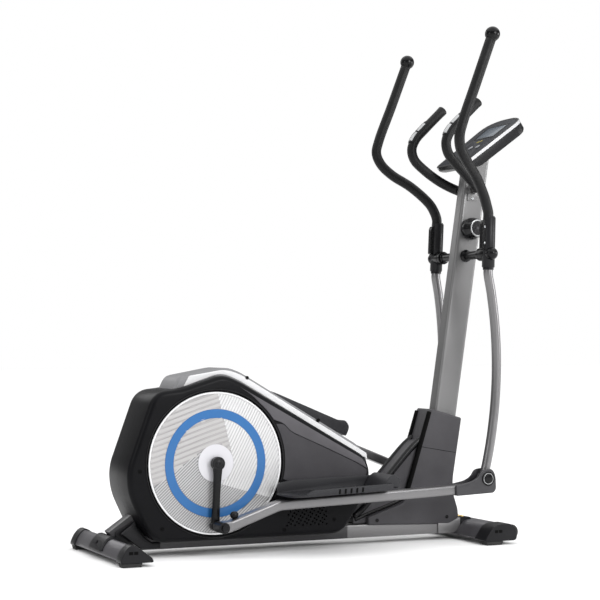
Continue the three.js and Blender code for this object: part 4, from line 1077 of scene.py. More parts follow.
def carved(piece: bpy.types.Object, cutter: Form) -> bpy.types.Object:
    """Cuts a form out of a piece.

    Args:
        piece: the piece.
        cutter: what is cut away.

    Returns:
        The same piece.
    """
    bmesh.ops.recalc_face_normals(cutter.bm, faces=cutter.bm.faces)
    mesh = bpy.data.meshes.new("cutter")
    cutter.bm.to_mesh(mesh)
    cutter.bm.free()
    tool = bpy.data.objects.new("cutter", mesh)
    bpy.context.scene.collection.objects.link(tool)
    step = piece.modifiers.new("cut", "BOOLEAN")
    step.operation = "DIFFERENCE"
    step.solver = "EXACT"
    step.object = tool
    baked(piece)
    bpy.data.objects.remove(tool)
    return piece


def softened(
    node: str,
    finish: Finish,
    edge: float = 0.0012,
    name: str = "",
    crease: float = 28.0,
    segments: int = 2,
) -> bpy.types.Object:
    """A part with its sharp edges rounded, in place of the plain one.

    Args:
        node: the part.
        finish: its finish.
        edge: the rounding.
        name: the piece's name, or nothing for the part's own name with an ending.
        crease: the angle above which an edge is rounded, in degrees.
        segments: segments of the rounding.

    Returns:
        The piece.
    """
    source = bpy.data.objects[node]
    form = Form()
    form.bm.from_mesh(source.data)
    bmesh.ops.remove_doubles(form.bm, verts=form.bm.verts, dist=1e-5)
    bmesh.ops.dissolve_limit(
        form.bm, angle_limit=math.radians(0.6), verts=form.bm.verts, edges=form.bm.edges
    )
    made = form.piece(name or f"{node}_shell", finish, source["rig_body"])
    bevel = made.modifiers.new("rounding", "BEVEL")
    bevel.width = edge
    bevel.segments = segments
    bevel.limit_method = "ANGLE"
    bevel.angle_limit = math.radians(crease)
    bevel.harden_normals = False
    baked(made)
    made.data.shade_smooth()
    made.data.set_sharp_from_angle(angle=math.radians(38.0))
    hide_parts(node)
    return made


def turned_to(axis: Sequence[float], at: Sequence[float]) -> Matrix:
    """The place of a form made along Z, turned to an axis.

    Args:
        axis: where its Z goes.
        at: where its origin goes.

    Returns:
        The move.
    """
    turn = Vector(axis).normalized().to_track_quat("Z", "Y").to_matrix().to_4x4()
    return Matrix.Translation(Vector(at)) @ turn


def side_plane(side: Side, level: float = 0.0) -> Matrix:
    """The place of a form drawn across and up, laid on one side of the machine.

    Args:
        side: the side; levels grow outwards from the middle plane.
        level: an extra distance outwards.

    Returns:
        The move from across, up and level to X, Z and Y.
    """
    sign = side.value
    return Matrix(((1, 0, 0, 0), (0, 0, sign, sign * level), (0, 1, 0, 0), (0, 0, 0, 1)))


def screw(form: Form, radius: float) -> Form:
    """Adds a cross-headed screw in a dished seat, facing up the Z axis.

    Args:
        form: the form to add it to.
        radius: the seat's radius.

    Returns:
        The same form.
    """
    head = radius * 0.72
    form.lathe(
        [
            (0.0, -0.004), (radius, -0.004), (radius, 0.0006), (radius * 0.86, 0.0009),
            (radius * 0.8, 0.0002), (head, -0.0006), (head * 0.92, 0.0002), (head * 0.5, 0.0006),
            (head * 0.34, 0.0006), (head * 0.3, -0.0004), (0.0, -0.0007),
        ],
        20,
    )
    return form


# ---------------------------------------------------------------- the machine


@dataclass
class Studio:
    """Camera, lamps and the pale floor round the machine."""

    eye: Point = (-2.2088, -4.6254, 0.6447)
    azimuth: float = 25.0
    pitch: float = 1.46
    lens: float = 96.94
    floor_size: float = 60.0

    def build(self) -> None:
        """Makes the camera, the lamps, the floor and the sky."""
        self.camera()
        self.lamp("key", (1.6, -5.2, 2.6), (0.0, 0.0, 0.6), 2.2, 160.0)
        self.lamp("side", (4.6, -2.0, 1.6), (0.3, 0.0, 0.8), 1.6, 75.0)
        self.lamp("rear_left", (-4.6, -1.4, 2.2), (-0.3, 0.0, 0.5), 1.4, 26.0)
        self.lamp("back", (-1.6, 4.2, 3.0), (0.0, 0.0, 0.7), 2.2, 30.0)
        self.ceiling()
        self.sky()
        self.floor()

    def camera(self) -> None:
        """Stands the camera."""
        lens = bpy.data.cameras.new("camera")
        lens.lens = self.lens
        lens.sensor_width = 36.0
        lens.clip_end = 200.0
        camera = bpy.data.objects.new("camera", lens)
        bpy.context.scene.collection.objects.link(camera)
        turn, rise = math.radians(self.azimuth), math.radians(self.pitch)
        ahead = Vector(
            (math.sin(turn) * math.cos(rise), math.cos(turn) * math.cos(rise), math.sin(rise))
        )
        camera.location = self.eye
        camera.rotation_euler = ahead.to_track_quat("-Z", "Y").to_euler()
        bpy.context.scene.camera = camera

    @staticmethod
    def lamp(name: str, at: Point, towards: Point, size: float, power: float) -> None:
        """Hangs a soft box.

        Args:
            name: its name.
            at: where it hangs.
            towards: what it faces.
            size: its width and height.
            power: its power in watts.
        """
        light = bpy.data.lights.new(name, "AREA")
        light.shape = "SQUARE"
        light.size = size
        light.energy = power
        lamp = bpy.data.objects.new(name, light)
        bpy.context.scene.collection.objects.link(lamp)
        lamp.location = at
        lamp.rotation_euler = (Vector(towards) - Vector(at)).to_track_quat("-Z", "Y").to_euler()

    @staticmethod
    def ceiling() -> None:
        """A broad soft light from above that keeps the whole floor even."""
        light = bpy.data.lights.new("ceiling", "SUN")
        light.energy = 2.95
        light.angle = math.radians(110.0)
        lamp = bpy.data.objects.new("ceiling", light)
        bpy.context.scene.collection.objects.link(lamp)
        lamp.location = (0.0, 0.0, 6.0)

    @staticmethod
    def sky() -> None:
        """A white surround that lights the machine less than it shows."""
        scene = bpy.context.scene
        world = bpy.data.worlds.new("studio")
        world.use_nodes = True
        tree = world.node_tree
        background = tree.nodes["Background"]
        background.inputs["Color"].default_value = (1.0, 1.0, 1.0, 1.0)
        path = tree.nodes.new("ShaderNodeLightPath")
        level = tree.nodes.new("ShaderNodeMapRange")
        level.inputs["To Min"].default_value = 0.26
        level.inputs["To Max"].default_value = 1.0
        tree.links.new(path.outputs["Is Camera Ray"], level.inputs["Value"])
        tree.links.new(level.outputs["Result"], background.inputs["Strength"])
        scene.world = world
        scene.view_settings.view_transform = "Standard"

    def floor(self) -> None:
        """Lays the pale floor."""
        bench = Bench("floor_paint")
        cloud = bench.noise(0.7, 3.0)
        base = bench.mix(cloud, (0.88, 0.88, 0.88), (0.92, 0.92, 0.92))
        bench.finish(Base_Color=base, Roughness=0.75 + 0.1 * cloud, Specular_IOR_Level=0.1)
        form = Form()
        half = self.floor_size / 2
        square = [(-half, -half), (half, -half), (half, half), (-half, half)]
        form.bm.faces.new([form.bm.verts.new((u, v, 0.0)) for u, v in square])
        mesh = bpy.data.meshes.new("floor")
        form.bm.to_mesh(mesh)
        form.bm.free()
        mesh.materials.append(bench.material)
        floor = bpy.data.objects.new("floor", mesh)
        bpy.context.scene.collection.objects.link(floor)


@dataclass
class Housing:
    """The two side shells round the drive, the spine cover between them, and their trim."""

    half_width: float = 0.097
    edge: float = 0.016
    crank: tuple[float, float] = CRANK_CENTRE
    disc_gap: float = 0.2195
    recess: float = 0.009
    top_rear: tuple[float, float] = (-0.296, 0.523)
    top_front: tuple[float, float] = (0.134, 0.282)
    spine_half: float = 0.066
    vent_rows: int = 6
    vent_columns: int = 13
    vent_start: tuple[float, float] = (-0.168, 0.078)
    vent_pitch: float = 0.0135
    vent_rise: float = 0.0095
    vent_lean: float = 0.0062
    vent_stagger: float = 0.0046

    def corners(self) -> list[Corner]:
        """The side shells' outline.

        Returns:
            Its corners, anticlockwise from the bottom rear.
        """
        return [
            (-0.56, 0.045, 0.03), (0.052, 0.044, 0.04), (0.115, 0.138, 0.03),
            (0.152, 0.226, 0.026), (*self.top_front, 0.026), (*self.top_rear, 0.04),
            (-0.35, 0.545, 0.04), (-0.487, 0.503, 0.024), (-0.572, 0.494, 0.044),
            (-0.656, 0.262, 0.06), (-0.65, 0.19, 0.06), (-0.6, 0.084, 0.03),
        ]

    def screws(self) -> list[tuple[float, float]]:
        """Where the shells' screws stand."""
        return [(-0.618, 0.26), (-0.548, 0.088), (-0.15, 0.066), (0.02, 0.09), (0.098, 0.215)]

    def build(self) -> None:
        """Makes every piece of the housing."""
        for side in Side:
            self.shell(side)
            self.crest(side)
            self.gasket(side)
            self.fasteners(side)
        self.cover()
        softened("rear_skirt", BLACK, 0.002)

    def shell(self, side: Side) -> None:
        """One side shell with its recess and its vents.

        Args:
            side: the side.
        """
        lay, face = side_plane(side), self.half_width
        form = Form().plate(self.corners(), 0.0002, face, self.edge, 10).moved(lay)
        made = form.piece(f"housing_shell_{side.word}", HOUSING, "frame", 30)
        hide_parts(f"housing_{side.word}")
        lip, past = self.disc_gap + 0.004, face + 0.02
        pocket = Form().lathe(
            [
                (0.0, face - self.recess), (self.disc_gap, face - self.recess),
                (self.disc_gap, face - 0.0025), (lip, face + 0.0006), (lip, past), (0.0, past),
            ],
            96,
        )
        carved(made, pocket.moved(Matrix.Translation((*self.crank, 0.0))).moved(lay))
        holes = Form().lathe([(0, -0.006), (0.0033, -0.006), (0.0033, 0.004), (0, 0.004)], 8)
        places = []
        x0, z0 = self.vent_start
        for row in range(self.vent_rows):
            for column in range(self.vent_columns):
                x = x0 + column * self.vent_pitch + row * self.vent_lean
                z = z0 + row * self.vent_rise + (self.vent_stagger if column % 2 else 0.0)
                slant = (column - 0.5) * self.vent_pitch + row * 0.006
                if 0.0 < slant < 0.158 and z < 0.06 + slant * 2.2:
                    places.append(Matrix.Translation((x, z, face)))
        carved(made, holes.copied(places).moved(lay))
        made.data.shade_smooth()
        made.data.set_sharp_from_angle(angle=math.radians(30.0))

    def crest(self, side: Side) -> None:
        """The raised upper field of the side, and the flank that it meets in a crease; the flank's
        lighter grey is painted light, for the light that falls on the curved side below the crease.

        Args:
            side: the side.
        """
        edge = 0.0125
        crease = [(-0.152, 0.392, 0.012), (-0.128, 0.366, 0.03), (-0.008, 0.314, 0.06)]
        outline = [
            *reversed(crease),
            *self.arc(34.0, 50.0),
            (-0.258, 0.48, 0.03),
            (-0.3, 0.507, 0.002),
            (self.top_front[0] - 0.012, self.top_front[1] - edge * 0.6, 0.018),
            (0.137, 0.243, 0.01),
            (0.104, 0.262, 0.02),
        ]
        lay, back, face = side_plane(side), self.half_width - 0.004, self.half_width
        form = Form().plate(self.turned(outline), back, face + 0.0024, 0.002, 5).moved(lay)
        form.piece(f"housing_crest_{side.word}", HOUSING_CREST, "frame", 30)
        flank = [
            (0.112, 0.16, 0.012), (0.136, 0.241, 0.01), (0.103, 0.2608, 0.02),
            *[(u - 0.0004, v - 0.0012, r) for u, v, r in reversed(crease)],
            *reversed(self.arc(-14.0, 30.0)),
            (-0.04, 0.176, 0.03),
        ]
        # Painted light: this lighter panel stands for the light falling on the side below the crease.
        form = Form().plate(self.turned(flank), back, face + 0.001, 0.0009, 4).moved(lay)
        form.piece(f"housing_flank_{side.word}", FLANK_PAINTED_LIGHT, "frame", 30)

    def arc(self, start: float, end: float) -> list[Corner]:
        """Points along the disc's lip.

        Args:
            start: the first angle in degrees.
            end: the last angle in degrees.

        Returns:
            Sharp corners along the arc.
        """
        x0, z0 = self.crank
        reach = self.disc_gap + 0.009
        turns = [math.radians(start + (end - start) * k / 10) for k in range(11)]
        return [(x0 + reach * math.cos(t), z0 + reach * math.sin(t), 0.0) for t in turns]

    @staticmethod
    def turned(outline: Sequence[Corner]) -> list[Corner]:
        """The outline, put anticlockwise.

        Args:
            outline: the corners, in either sense.

        Returns:
            The same corners, anticlockwise.
        """
        area = 0.0
        for (u0, v0, _), (u1, v1, _) in zip(outline, [*outline[1:], outline[0]]):
            area += u0 * v1 - u1 * v0
        return list(outline) if area > 0 else list(reversed(outline))

    def gasket(self, side: Side) -> None:
        """The glossy lip round the disc's pocket.

        Args:
            side: the side.
        """
        inner, outer, face = self.disc_gap + 0.0005, self.disc_gap + 0.006, self.half_width
        profile = [
            (inner, face - 0.007), (inner, face - 0.001), (inner + 0.0012, face + 0.0014),
            (outer - 0.0012, face + 0.0016), (outer, face - 0.0005), (outer, face - 0.007),
            (inner, face - 0.007),
        ]
        form = Form().lathe(profile, 96).moved(Matrix.Translation((*self.crank, 0.0)))
        form.moved(side_plane(side)).piece(f"disc_lip_{side.word}", SATIN_BLACK, "frame", 40)

    def fasteners(self, side: Side) -> None:
        """The side's screws in their dished seats.

        Args:
            side: the side.
        """
        places = [Matrix.Translation((x, z, self.half_width)) for x, z in self.screws()]
        form = screw(Form(), 0.0062).copied(places).moved(side_plane(side))
        form.piece(f"housing_screws_{side.word}", DEEP_BLACK, "frame", 25)

    def cover(self) -> None:
        """The spine cover: a grey top between two white edge bands, with its screws."""
        softened("top_cover", COVER_GREY, 0.004, "spine_cover", 20.0, 3)
        proud = self.spine_half + 0.0012
        for side in Side:
            lay = side_plane(side)
            band = [
                (-0.47, 0.508, 0.004),
                (-0.35, 0.549, 0.03),
                (self.top_rear[0] + 0.004, self.top_rear[1] + 0.004, 0.03),
                (self.top_front[0] + 0.018, self.top_front[1] - 0.01, 0.004),
                (self.top_front[0] + 0.015, self.top_front[1] + 0.009, 0.004),
                (-0.284, 0.5435, 0.03),
                (-0.334, 0.559, 0.03),
                (-0.452, 0.54, 0.006),
            ]
            form = Form().plate(band, self.spine_half - 0.006, proud, 0.0011, 6).moved(lay)
            form.piece(f"spine_band_{side.word}", SPINE_WHITE, "frame", 30)
            spots = [(-0.262, 0.5325), (-0.02, 0.3975)]
            places = [Matrix.Translation((x, z, proud)) for x, z in spots]
            dots = screw(Form(), 0.0058).copied(places).moved(lay)
            dots.piece(f"spine_screws_{side.word}", DEEP_BLACK, "frame", 25)


@dataclass
class TurningDiscs:
    """The big silver discs with their blue ring, ribbed fields, hub plate and rim."""

    crank: tuple[float, float] = CRANK_CENTRE
    radius: float = 0.215
    face: float = 0.0945
    ring_inner: float = 0.136
    ring_outer: float = 0.163
    hub: float = 0.057
    rim: float = 0.2095
    bounds: tuple[float, float, float] = (104.0, 214.0, 344.0)
    shortest_rib: float = 0.004
    body: str = "crank"

    def build(self) -> None:
        """Makes both discs."""
        for side in Side:
            self.disc(side)

    def place(self, side: Side) -> Matrix:
        """The place of a form drawn about the crank.

        Args:
            side: the side.

        Returns:
            The move.
        """
        return side_plane(side) @ Matrix.Translation((*self.crank, 0.0))

    def disc(self, side: Side) -> None:
        """One disc with all that is on it.

        Args:
            side: the side.
        """
        plate = Form().lathe(
            [
                (0.0, self.face - 0.004), (self.radius - 0.001, self.face - 0.004),
                (self.radius, self.face - 0.003), (self.radius, self.face - 0.0002),
                (self.radius - 0.001, self.face), (0.0, self.face),
            ],
            128,
        )
        made = plate.moved(self.place(side)).piece(f"disc_plate_{side.word}", DISC_PAINT, self.body)
        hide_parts(f"turning_disc_{side.word}")
        self.band(side, "disc_rim", self.rim, self.radius, 0.0022, RIM_BRIGHT)
        self.band(side, "blue_ring", self.ring_inner, self.ring_outer, 0.0013, BLUE)
        self.band(side, "hub_plate", 0.012, self.hub, 0.0012, HUB_WHITE)
        fields = [
            ("rear", self.bounds[0], self.bounds[1], 18.0, 0.015, RIBS_REAR, FIELD_REAR),
            ("low", self.bounds[1], self.bounds[2], 42.0, 0.007, RIBS_LOW, FIELD_LOW),
            ("front", self.bounds[2], self.bounds[0] + 360, 62.0, 0.0088, RIBS_FRONT, FIELD_FRONT),
        ]
        for word, start, end, angle, pitch, finish, ground in fields:
            self.field(side, word, start, end, ground)
            self.ribs(side, word, (start, end), angle, pitch, finish)

    def band(
        self, side: Side, word: str, inner: float, outer: float, rise: float, finish: Finish
    ) -> None:
        """A flat ring on the disc.

        Args:
            side: the side.
            word: the ring's name.
            inner: its inner radius.
            outer: its outer radius.
            rise: how far it stands off the disc.
            finish: its finish.
        """
        low, high, soft = self.face - 0.001, self.face + rise, min(0.0008, rise * 0.5)
        profile = [
            (inner, low), (inner, high - soft), (inner + soft, high), (outer - soft, high),
            (outer, high - soft), (outer, low), (inner, low),
        ]
        form = Form().lathe(profile, 128).moved(self.place(side))
        form.piece(f"{word}_{side.word}", finish, self.body, 30)

    def inside(self, x: float, z: float, start: float, end: float) -> bool:
        """Whether a point is in a field.

        Args:
            x: across from the crank.
            z: up from the crank.
            start: the field's first bounding angle.
            end: its last bounding angle.

        Returns:
            True where it is. The bounds are lines that graze the hub plate.
        """
        reach = math.hypot(x, z)
        if not (self.hub + 0.0008 < reach < self.rim - 0.0008):
            return False
        if self.ring_inner - 0.0008 < reach < self.ring_outer + 0.0008:
            return False
        lean = math.asin(min(1.0, self.hub / reach))
        turn = math.degrees(math.atan2(z, x) + lean)
        return (turn - start) % 360.0 < (end - start) % 360.0

    def field(self, side: Side, word: str, start: float, end: float, finish: Finish) -> None:
        """The thin ground that the ribs of one field stand on; its finish paints the shade between the
        ribs.

        Args:
            side: the side.
            word: the field's name.
            start: its first bounding angle.
            end: its last bounding angle.
            finish: its finish.
        """
        form = Form()
        steps, level = 48, self.face + 0.0002
        for low, high in ((self.hub, self.ring_inner), (self.ring_outer, self.rim)):
            rows = []
            for r in (low + (high - low) * k / 6 for k in range(7)):
                lean = math.degrees(math.asin(min(1.0, self.hub / r)))
                row = []
                for i in range(steps + 1):
                    turn = math.radians(start - lean + (end - start) * i / steps)
                    row.append(form.bm.verts.new((r * math.cos(turn), r * math.sin(turn), level)))
                rows.append(row)
            for near, far in zip(rows, rows[1:]):
                for i in range(steps):
                    form.bm.faces.new((near[i], near[i + 1], far[i + 1], far[i]))
        grown = bmesh.ops.extrude_face_region(form.bm, geom=list(form.bm.faces))
        raised = [v for v in grown["geom"] if isinstance(v, bmesh.types.BMVert)]
        bmesh.ops.translate(form.bm, verts=raised, vec=(0.0, 0.0, -0.0006))
        form.moved(self.place(side)).piece(f"disc_field_{word}_{side.word}", finish, self.body, 30)

    def ribs(
        self,
        side: Side,
        word: str,
        bounds: tuple[float, float],
        angle: float,
        pitch: float,
        finish: Finish,
    ) -> None:
        """The raised slanted ribs of one field.

        Args:
            side: the side.
            word: the field's name.
            bounds: its bounding angles.
            angle: the ribs' slope in degrees.
            pitch: their spacing.
            finish: their finish.
        """
        slope = math.radians(angle)
        along = Vector((math.cos(slope), math.sin(slope), 0.0))
        across = Vector((-math.sin(slope), math.cos(slope), 0.0))
        form = Form()
        count = int(self.radius / pitch) + 1
        step = 0.0015
        for n in range(-count, count + 1):
            runs: list[list[float]] = []
            s = -self.radius
            while s < self.radius:
                p = across * (n * pitch) + along * s
                if self.inside(p.x, p.y, *bounds):
                    if runs and s - runs[-1][1] < step * 1.5:
                        runs[-1][1] = s
                    else:
                        runs.append([s, s])
                s += step
            for first, last in runs:
                if last - first >= self.shortest_rib:
                    start = across * (n * pitch) + along * first
                    self.rib(form, start, along * (last - first), across, pitch)
        form.moved(self.place(side)).piece(f"disc_ribs_{word}_{side.word}", finish, self.body, 20)

    def rib(self, form: Form, start: Vector, run: Vector, across: Vector, pitch: float) -> None:
        """One louvre-shaped rib: a long slope with a short step.

        Args:
            form: the form to add it to.
            start: its first end, on the disc.
            run: its length and direction.
            across: the direction of its width.
            pitch: the ribs' spacing.
        """
        base = Vector((0.0, 0.0, self.face))
        low, high = across * (-0.42 * pitch), across * (0.3 * pitch)
        up = Vector((0.0, 0.0, min(0.0014, pitch * 0.13)))
        down = Vector((0.0, 0.0, -0.0003))
        section = [low + down, low, high + up, high + across * (0.04 * pitch) + down]
        form.loft([[base + start + share * run + p for p in section] for share in (0.0, 1.0)])


@dataclass
class Cranks:
    """The two crank arms, from the hub to the crank pins."""

    crank: tuple[float, float] = CRANK_CENTRE
    throw: float = CRANK_THROW
    tilt: float = CRANK_TILT
    inner: float = 0.103
    outer: float = 0.121
    body: str = "crank"

    def build(self) -> None:
        """Makes both arms."""
        for side in Side:
            self.arm(side)

    def arm(self, side: Side) -> None:
        """One arm with its boss and its pin eye.

        Args:
            side: the side.
        """
        turn = math.radians(-90.0 - self.tilt if side is Side.RIGHT else 90.0 - self.tilt)
        ahead = Vector((math.cos(turn), math.sin(turn), 0.0))
        across = Vector((-ahead.y, ahead.x, 0.0))
        middle = (self.inner + self.outer) / 2
        rings = []
        for k in range(17):
            share = k / 16
            s = self.throw * share
            half = 0.015 - 0.0035 * math.sin(share * math.pi) - 0.001 * share
            thick = 0.0088 - 0.001 * math.sin(share * math.pi)
            ring = []
            for i in range(20):
                a = 2 * math.pi * i / 20
                c, d = math.cos(a), math.sin(a)
                u = half * math.copysign(abs(c) ** 0.6, c)
                w = thick * math.copysign(abs(d) ** 0.6, d)
                ring.append(ahead * s + across * u + Vector((0, 0, middle + w)))
            rings.append(ring)
        form = Form().loft(rings)
        place = side_plane(side) @ Matrix.Translation((*self.crank, 0.0))
        made = form.moved(place).piece(f"crank_bar_{side.word}", SATIN_BLACK, self.body, 45)
        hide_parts(f"crank_arm_{side.word}")
        self.boss(side, "crank_boss", Vector((0, 0, 0)), 0.0205, 0.0035)
        self.boss(side, "pin_eye", ahead * self.throw, 0.015, 0.0)

    def boss(self, side: Side, word: str, at: Vector, radius: float, proud: float) -> None:
        """A round end of the arm, with a stepped face.

        Args:
            side: the side.
            word: its name.
            at: its centre, from the crank.
            radius: its radius.
            proud: how far its cap stands past the arm.
        """
        low, high = self.inner - 0.0006, self.outer - 0.0002
        top = high + proud
        profile = [
            (0.0, low), (radius - 0.0015, low), (radius, low + 0.0015), (radius, high - 0.002),
            (radius - 0.002, high), (radius * 0.66, high + proud * 0.1),
            (radius * 0.6, top - 0.0002 - proud * 0.3), (radius * 0.5, top),
            (radius * 0.2, top), (radius * 0.16, top - 0.0012), (0.0, top - 0.0012),
        ]
        x, z = self.crank[0] + at.x, self.crank[1] + at.y
        place = side_plane(side) @ Matrix.Translation((x, z, 0))
        Form().lathe(profile, 40).moved(place).piece(f"{word}_{side.word}", BLACK, self.body, 35)


@dataclass
class Linkage:
    """The four-bar linkage of one side at rest: crank, pedal arm and swing arm."""

    crank: tuple[float, float] = CRANK_CENTRE
    throw: float = CRANK_THROW
    rest_tilt: float = CRANK_TILT
    upper: tuple[float, float] = UPPER_PIVOT
    swing_length: float = 0.72
    pedal_length: float = 0.911
    arm_y: float = 0.168
    bend: tuple[float, float] = (-0.723, 0.0355)
    front: tuple[float, float] = (-0.062, -0.024)

    def angles(self, side: Side) -> tuple[float, float]:
        """The linkage's two angles about +Y.

        Args:
            side: the side.

        Returns:
            The swing arm's and the pedal arm's angle.
        """
        turn = math.radians(self.rest_tilt)
        pin_x = self.crank[0] + side.value * self.throw * math.sin(turn)
        pin_z = self.crank[1] + side.value * self.throw * math.cos(turn)
        dx, dz = self.upper[0] - pin_x, self.upper[1] - pin_z
        span = math.hypot(dx, dz)
        along = (self.pedal_length**2 - self.swing_length**2 + span**2) / (2 * span)
        away = math.sqrt(self.pedal_length**2 - along**2)
        low_x = pin_x + (along * dx + away * dz) / span
        low_z = pin_z + (along * dz - away * dx) / span
        swing = math.asin((self.upper[0] - low_x) / self.swing_length)
        return swing, -math.asin((low_z - pin_z) / self.pedal_length)

    def swing_place(self, side: Side) -> Matrix:
        """The swing arm's own frame, with its origin on the upper pivot.

        Args:
            side: the side.

        Returns:
            The frame's place at rest.
        """
        swing, _ = self.angles(side)
        pivot = Matrix.Translation((self.upper[0], 0, self.upper[1]))
        return pivot @ Matrix.Rotation(swing, 4, "Y")

    def pedal_place(self, side: Side) -> Matrix:
        """The pedal arm's own frame, with its origin on the lower pivot.

        Args:
            side: the side.

        Returns:
            The frame's place at rest.
        """
        swing, tilt = self.angles(side)
        drop = Matrix.Translation((0, 0, -self.swing_length))
        return self.swing_place(side) @ drop @ Matrix.Rotation(tilt - swing, 4, "Y")

    def tray_place(self, side: Side) -> Matrix:
        """The pedal tray's own frame, forward along the arm from its bend.

        Args:
            side: the side.

        Returns:
            The frame's place at rest.
        """
        slope = math.atan2(self.front[1] - self.bend[1], self.front[0] - self.bend[0])
        shift = Matrix.Translation((self.bend[0] + 0.008, 0, self.bend[1]))
        return self.pedal_place(side) @ shift @ Matrix.Rotation(-slope, 4, "Y")


@dataclass
class MastShroud:
    """The two-part cover round the mast's foot: a column and a gusset behind it."""

    column_half: float = 0.049
    gusset_half: float = 0.032

    def column(self) -> list[Corner]:
        """The column's outline.

        Returns:
            Its corners, anticlockwise.
        """
        return [
            (0.165, 0.06, 0.004), (0.46, 0.05, 0.008), (0.497, 0.066, 0.01),
            (0.496, 0.096, 0.012), (0.478, 0.15, 0.02), (0.477, 0.196, 0.02),
            (0.51, 0.394, 0.006), (0.396, 0.426, 0.008), (0.318, 0.18, 0.03),
            (0.298, 0.126, 0.02), (0.165, 0.085, 0.006),
        ]

    def gusset(self) -> list[Corner]:
        """The gusset's outline.

        Returns:
            Its corners, anticlockwise.
        """
        return [
            (0.118, 0.063, 0.006), (0.33, 0.063, 0.0), (0.38, 0.33, 0.0),
            (0.342, 0.318, 0.02), (0.252, 0.226, 0.03), (0.156, 0.122, 0.01),
            (0.118, 0.088, 0.01),
        ]

    def build(self) -> None:
        """Makes both halves with their seams and screws."""
        for side in Side:
            lay = side_plane(side)
            form = Form().plate(self.column(), 0.0002, self.column_half, 0.006, 10).moved(lay)
            made = form.piece(f"shroud_column_{side.word}", CHARCOAL, "frame", 30)
            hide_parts(f"mast_shroud_{side.word}")
            form = Form().plate(self.gusset(), 0.0002, self.gusset_half, 0.005, 8).moved(lay)
            form.piece(f"shroud_gusset_{side.word}", CHARCOAL, "frame", 30)
            self.rails(side)
            self.seam(side)
            spots = [(0.196, 0.074, self.column_half), (0.452, 0.074, self.column_half)]
            spots.append((0.262, 0.168, self.gusset_half))
            places = [Matrix.Translation(spot) for spot in spots]
            dots = screw(Form(), 0.0058).copied(places).moved(lay)
            dots.piece(f"shroud_screws_{side.word}", DEEP_BLACK, "frame", 25)

    def rails(self, side: Side) -> None:
        """The round rails that frame the gusset's side, and a dead-black bar in the groove between the
        column and the gusset that is painted shade.

        Args:
            side: the side.
        """
        lay = side_plane(side)
        level = self.gusset_half - 0.001
        runs = [
            [(0.124, 0.088), (0.158, 0.116), (0.25, 0.216), (0.338, 0.306), (0.37, 0.33)],
            [(0.128, 0.078), (0.17, 0.094), (0.3, 0.14), (0.33, 0.17)],
        ]
        for n, run in enumerate(runs):
            path = smooth_path([(u, v, level) for u, v in run], 8)
            form = Form().sweep(path, 0.0105 - 0.0045 * n, 18, 0.004, 0.8).moved(lay)
            form.piece(f"gusset_rail_{n + 1}_{side.word}", SATIN_BLACK, "frame", 50)
        # Painted shade: a dead-black bar laid in the groove where the column's side meets the gusset.
        edge = [(0.306, 0.15), (0.322, 0.196), (0.36, 0.312), (0.393, 0.414)]
        path = smooth_path([(u, v, self.column_half - 0.0085) for u, v in edge], 8)
        form = Form().sweep(path, 0.0085, 16, 0.003).moved(lay)
        form.piece(f"shroud_channel_{side.word}", DEEP_BLACK, "frame", 50)

    def seam(self, side: Side) -> None:
        """The dark parting line between the column's upper and lower covers.

        Args:
            side: the side.
        """
        level = self.column_half + 0.0002
        strip = [(0.353, 0.3035), (0.4852, 0.2806), (0.4852, 0.2823), (0.3535, 0.3052)]
        form = Form().plate([(u, v, 0.0) for u, v in strip], level - 0.003, level, 0.0002, 1)
        form.moved(side_plane(side)).piece(f"shroud_seam_{side.word}", DEEP_BLACK, "frame", 30)


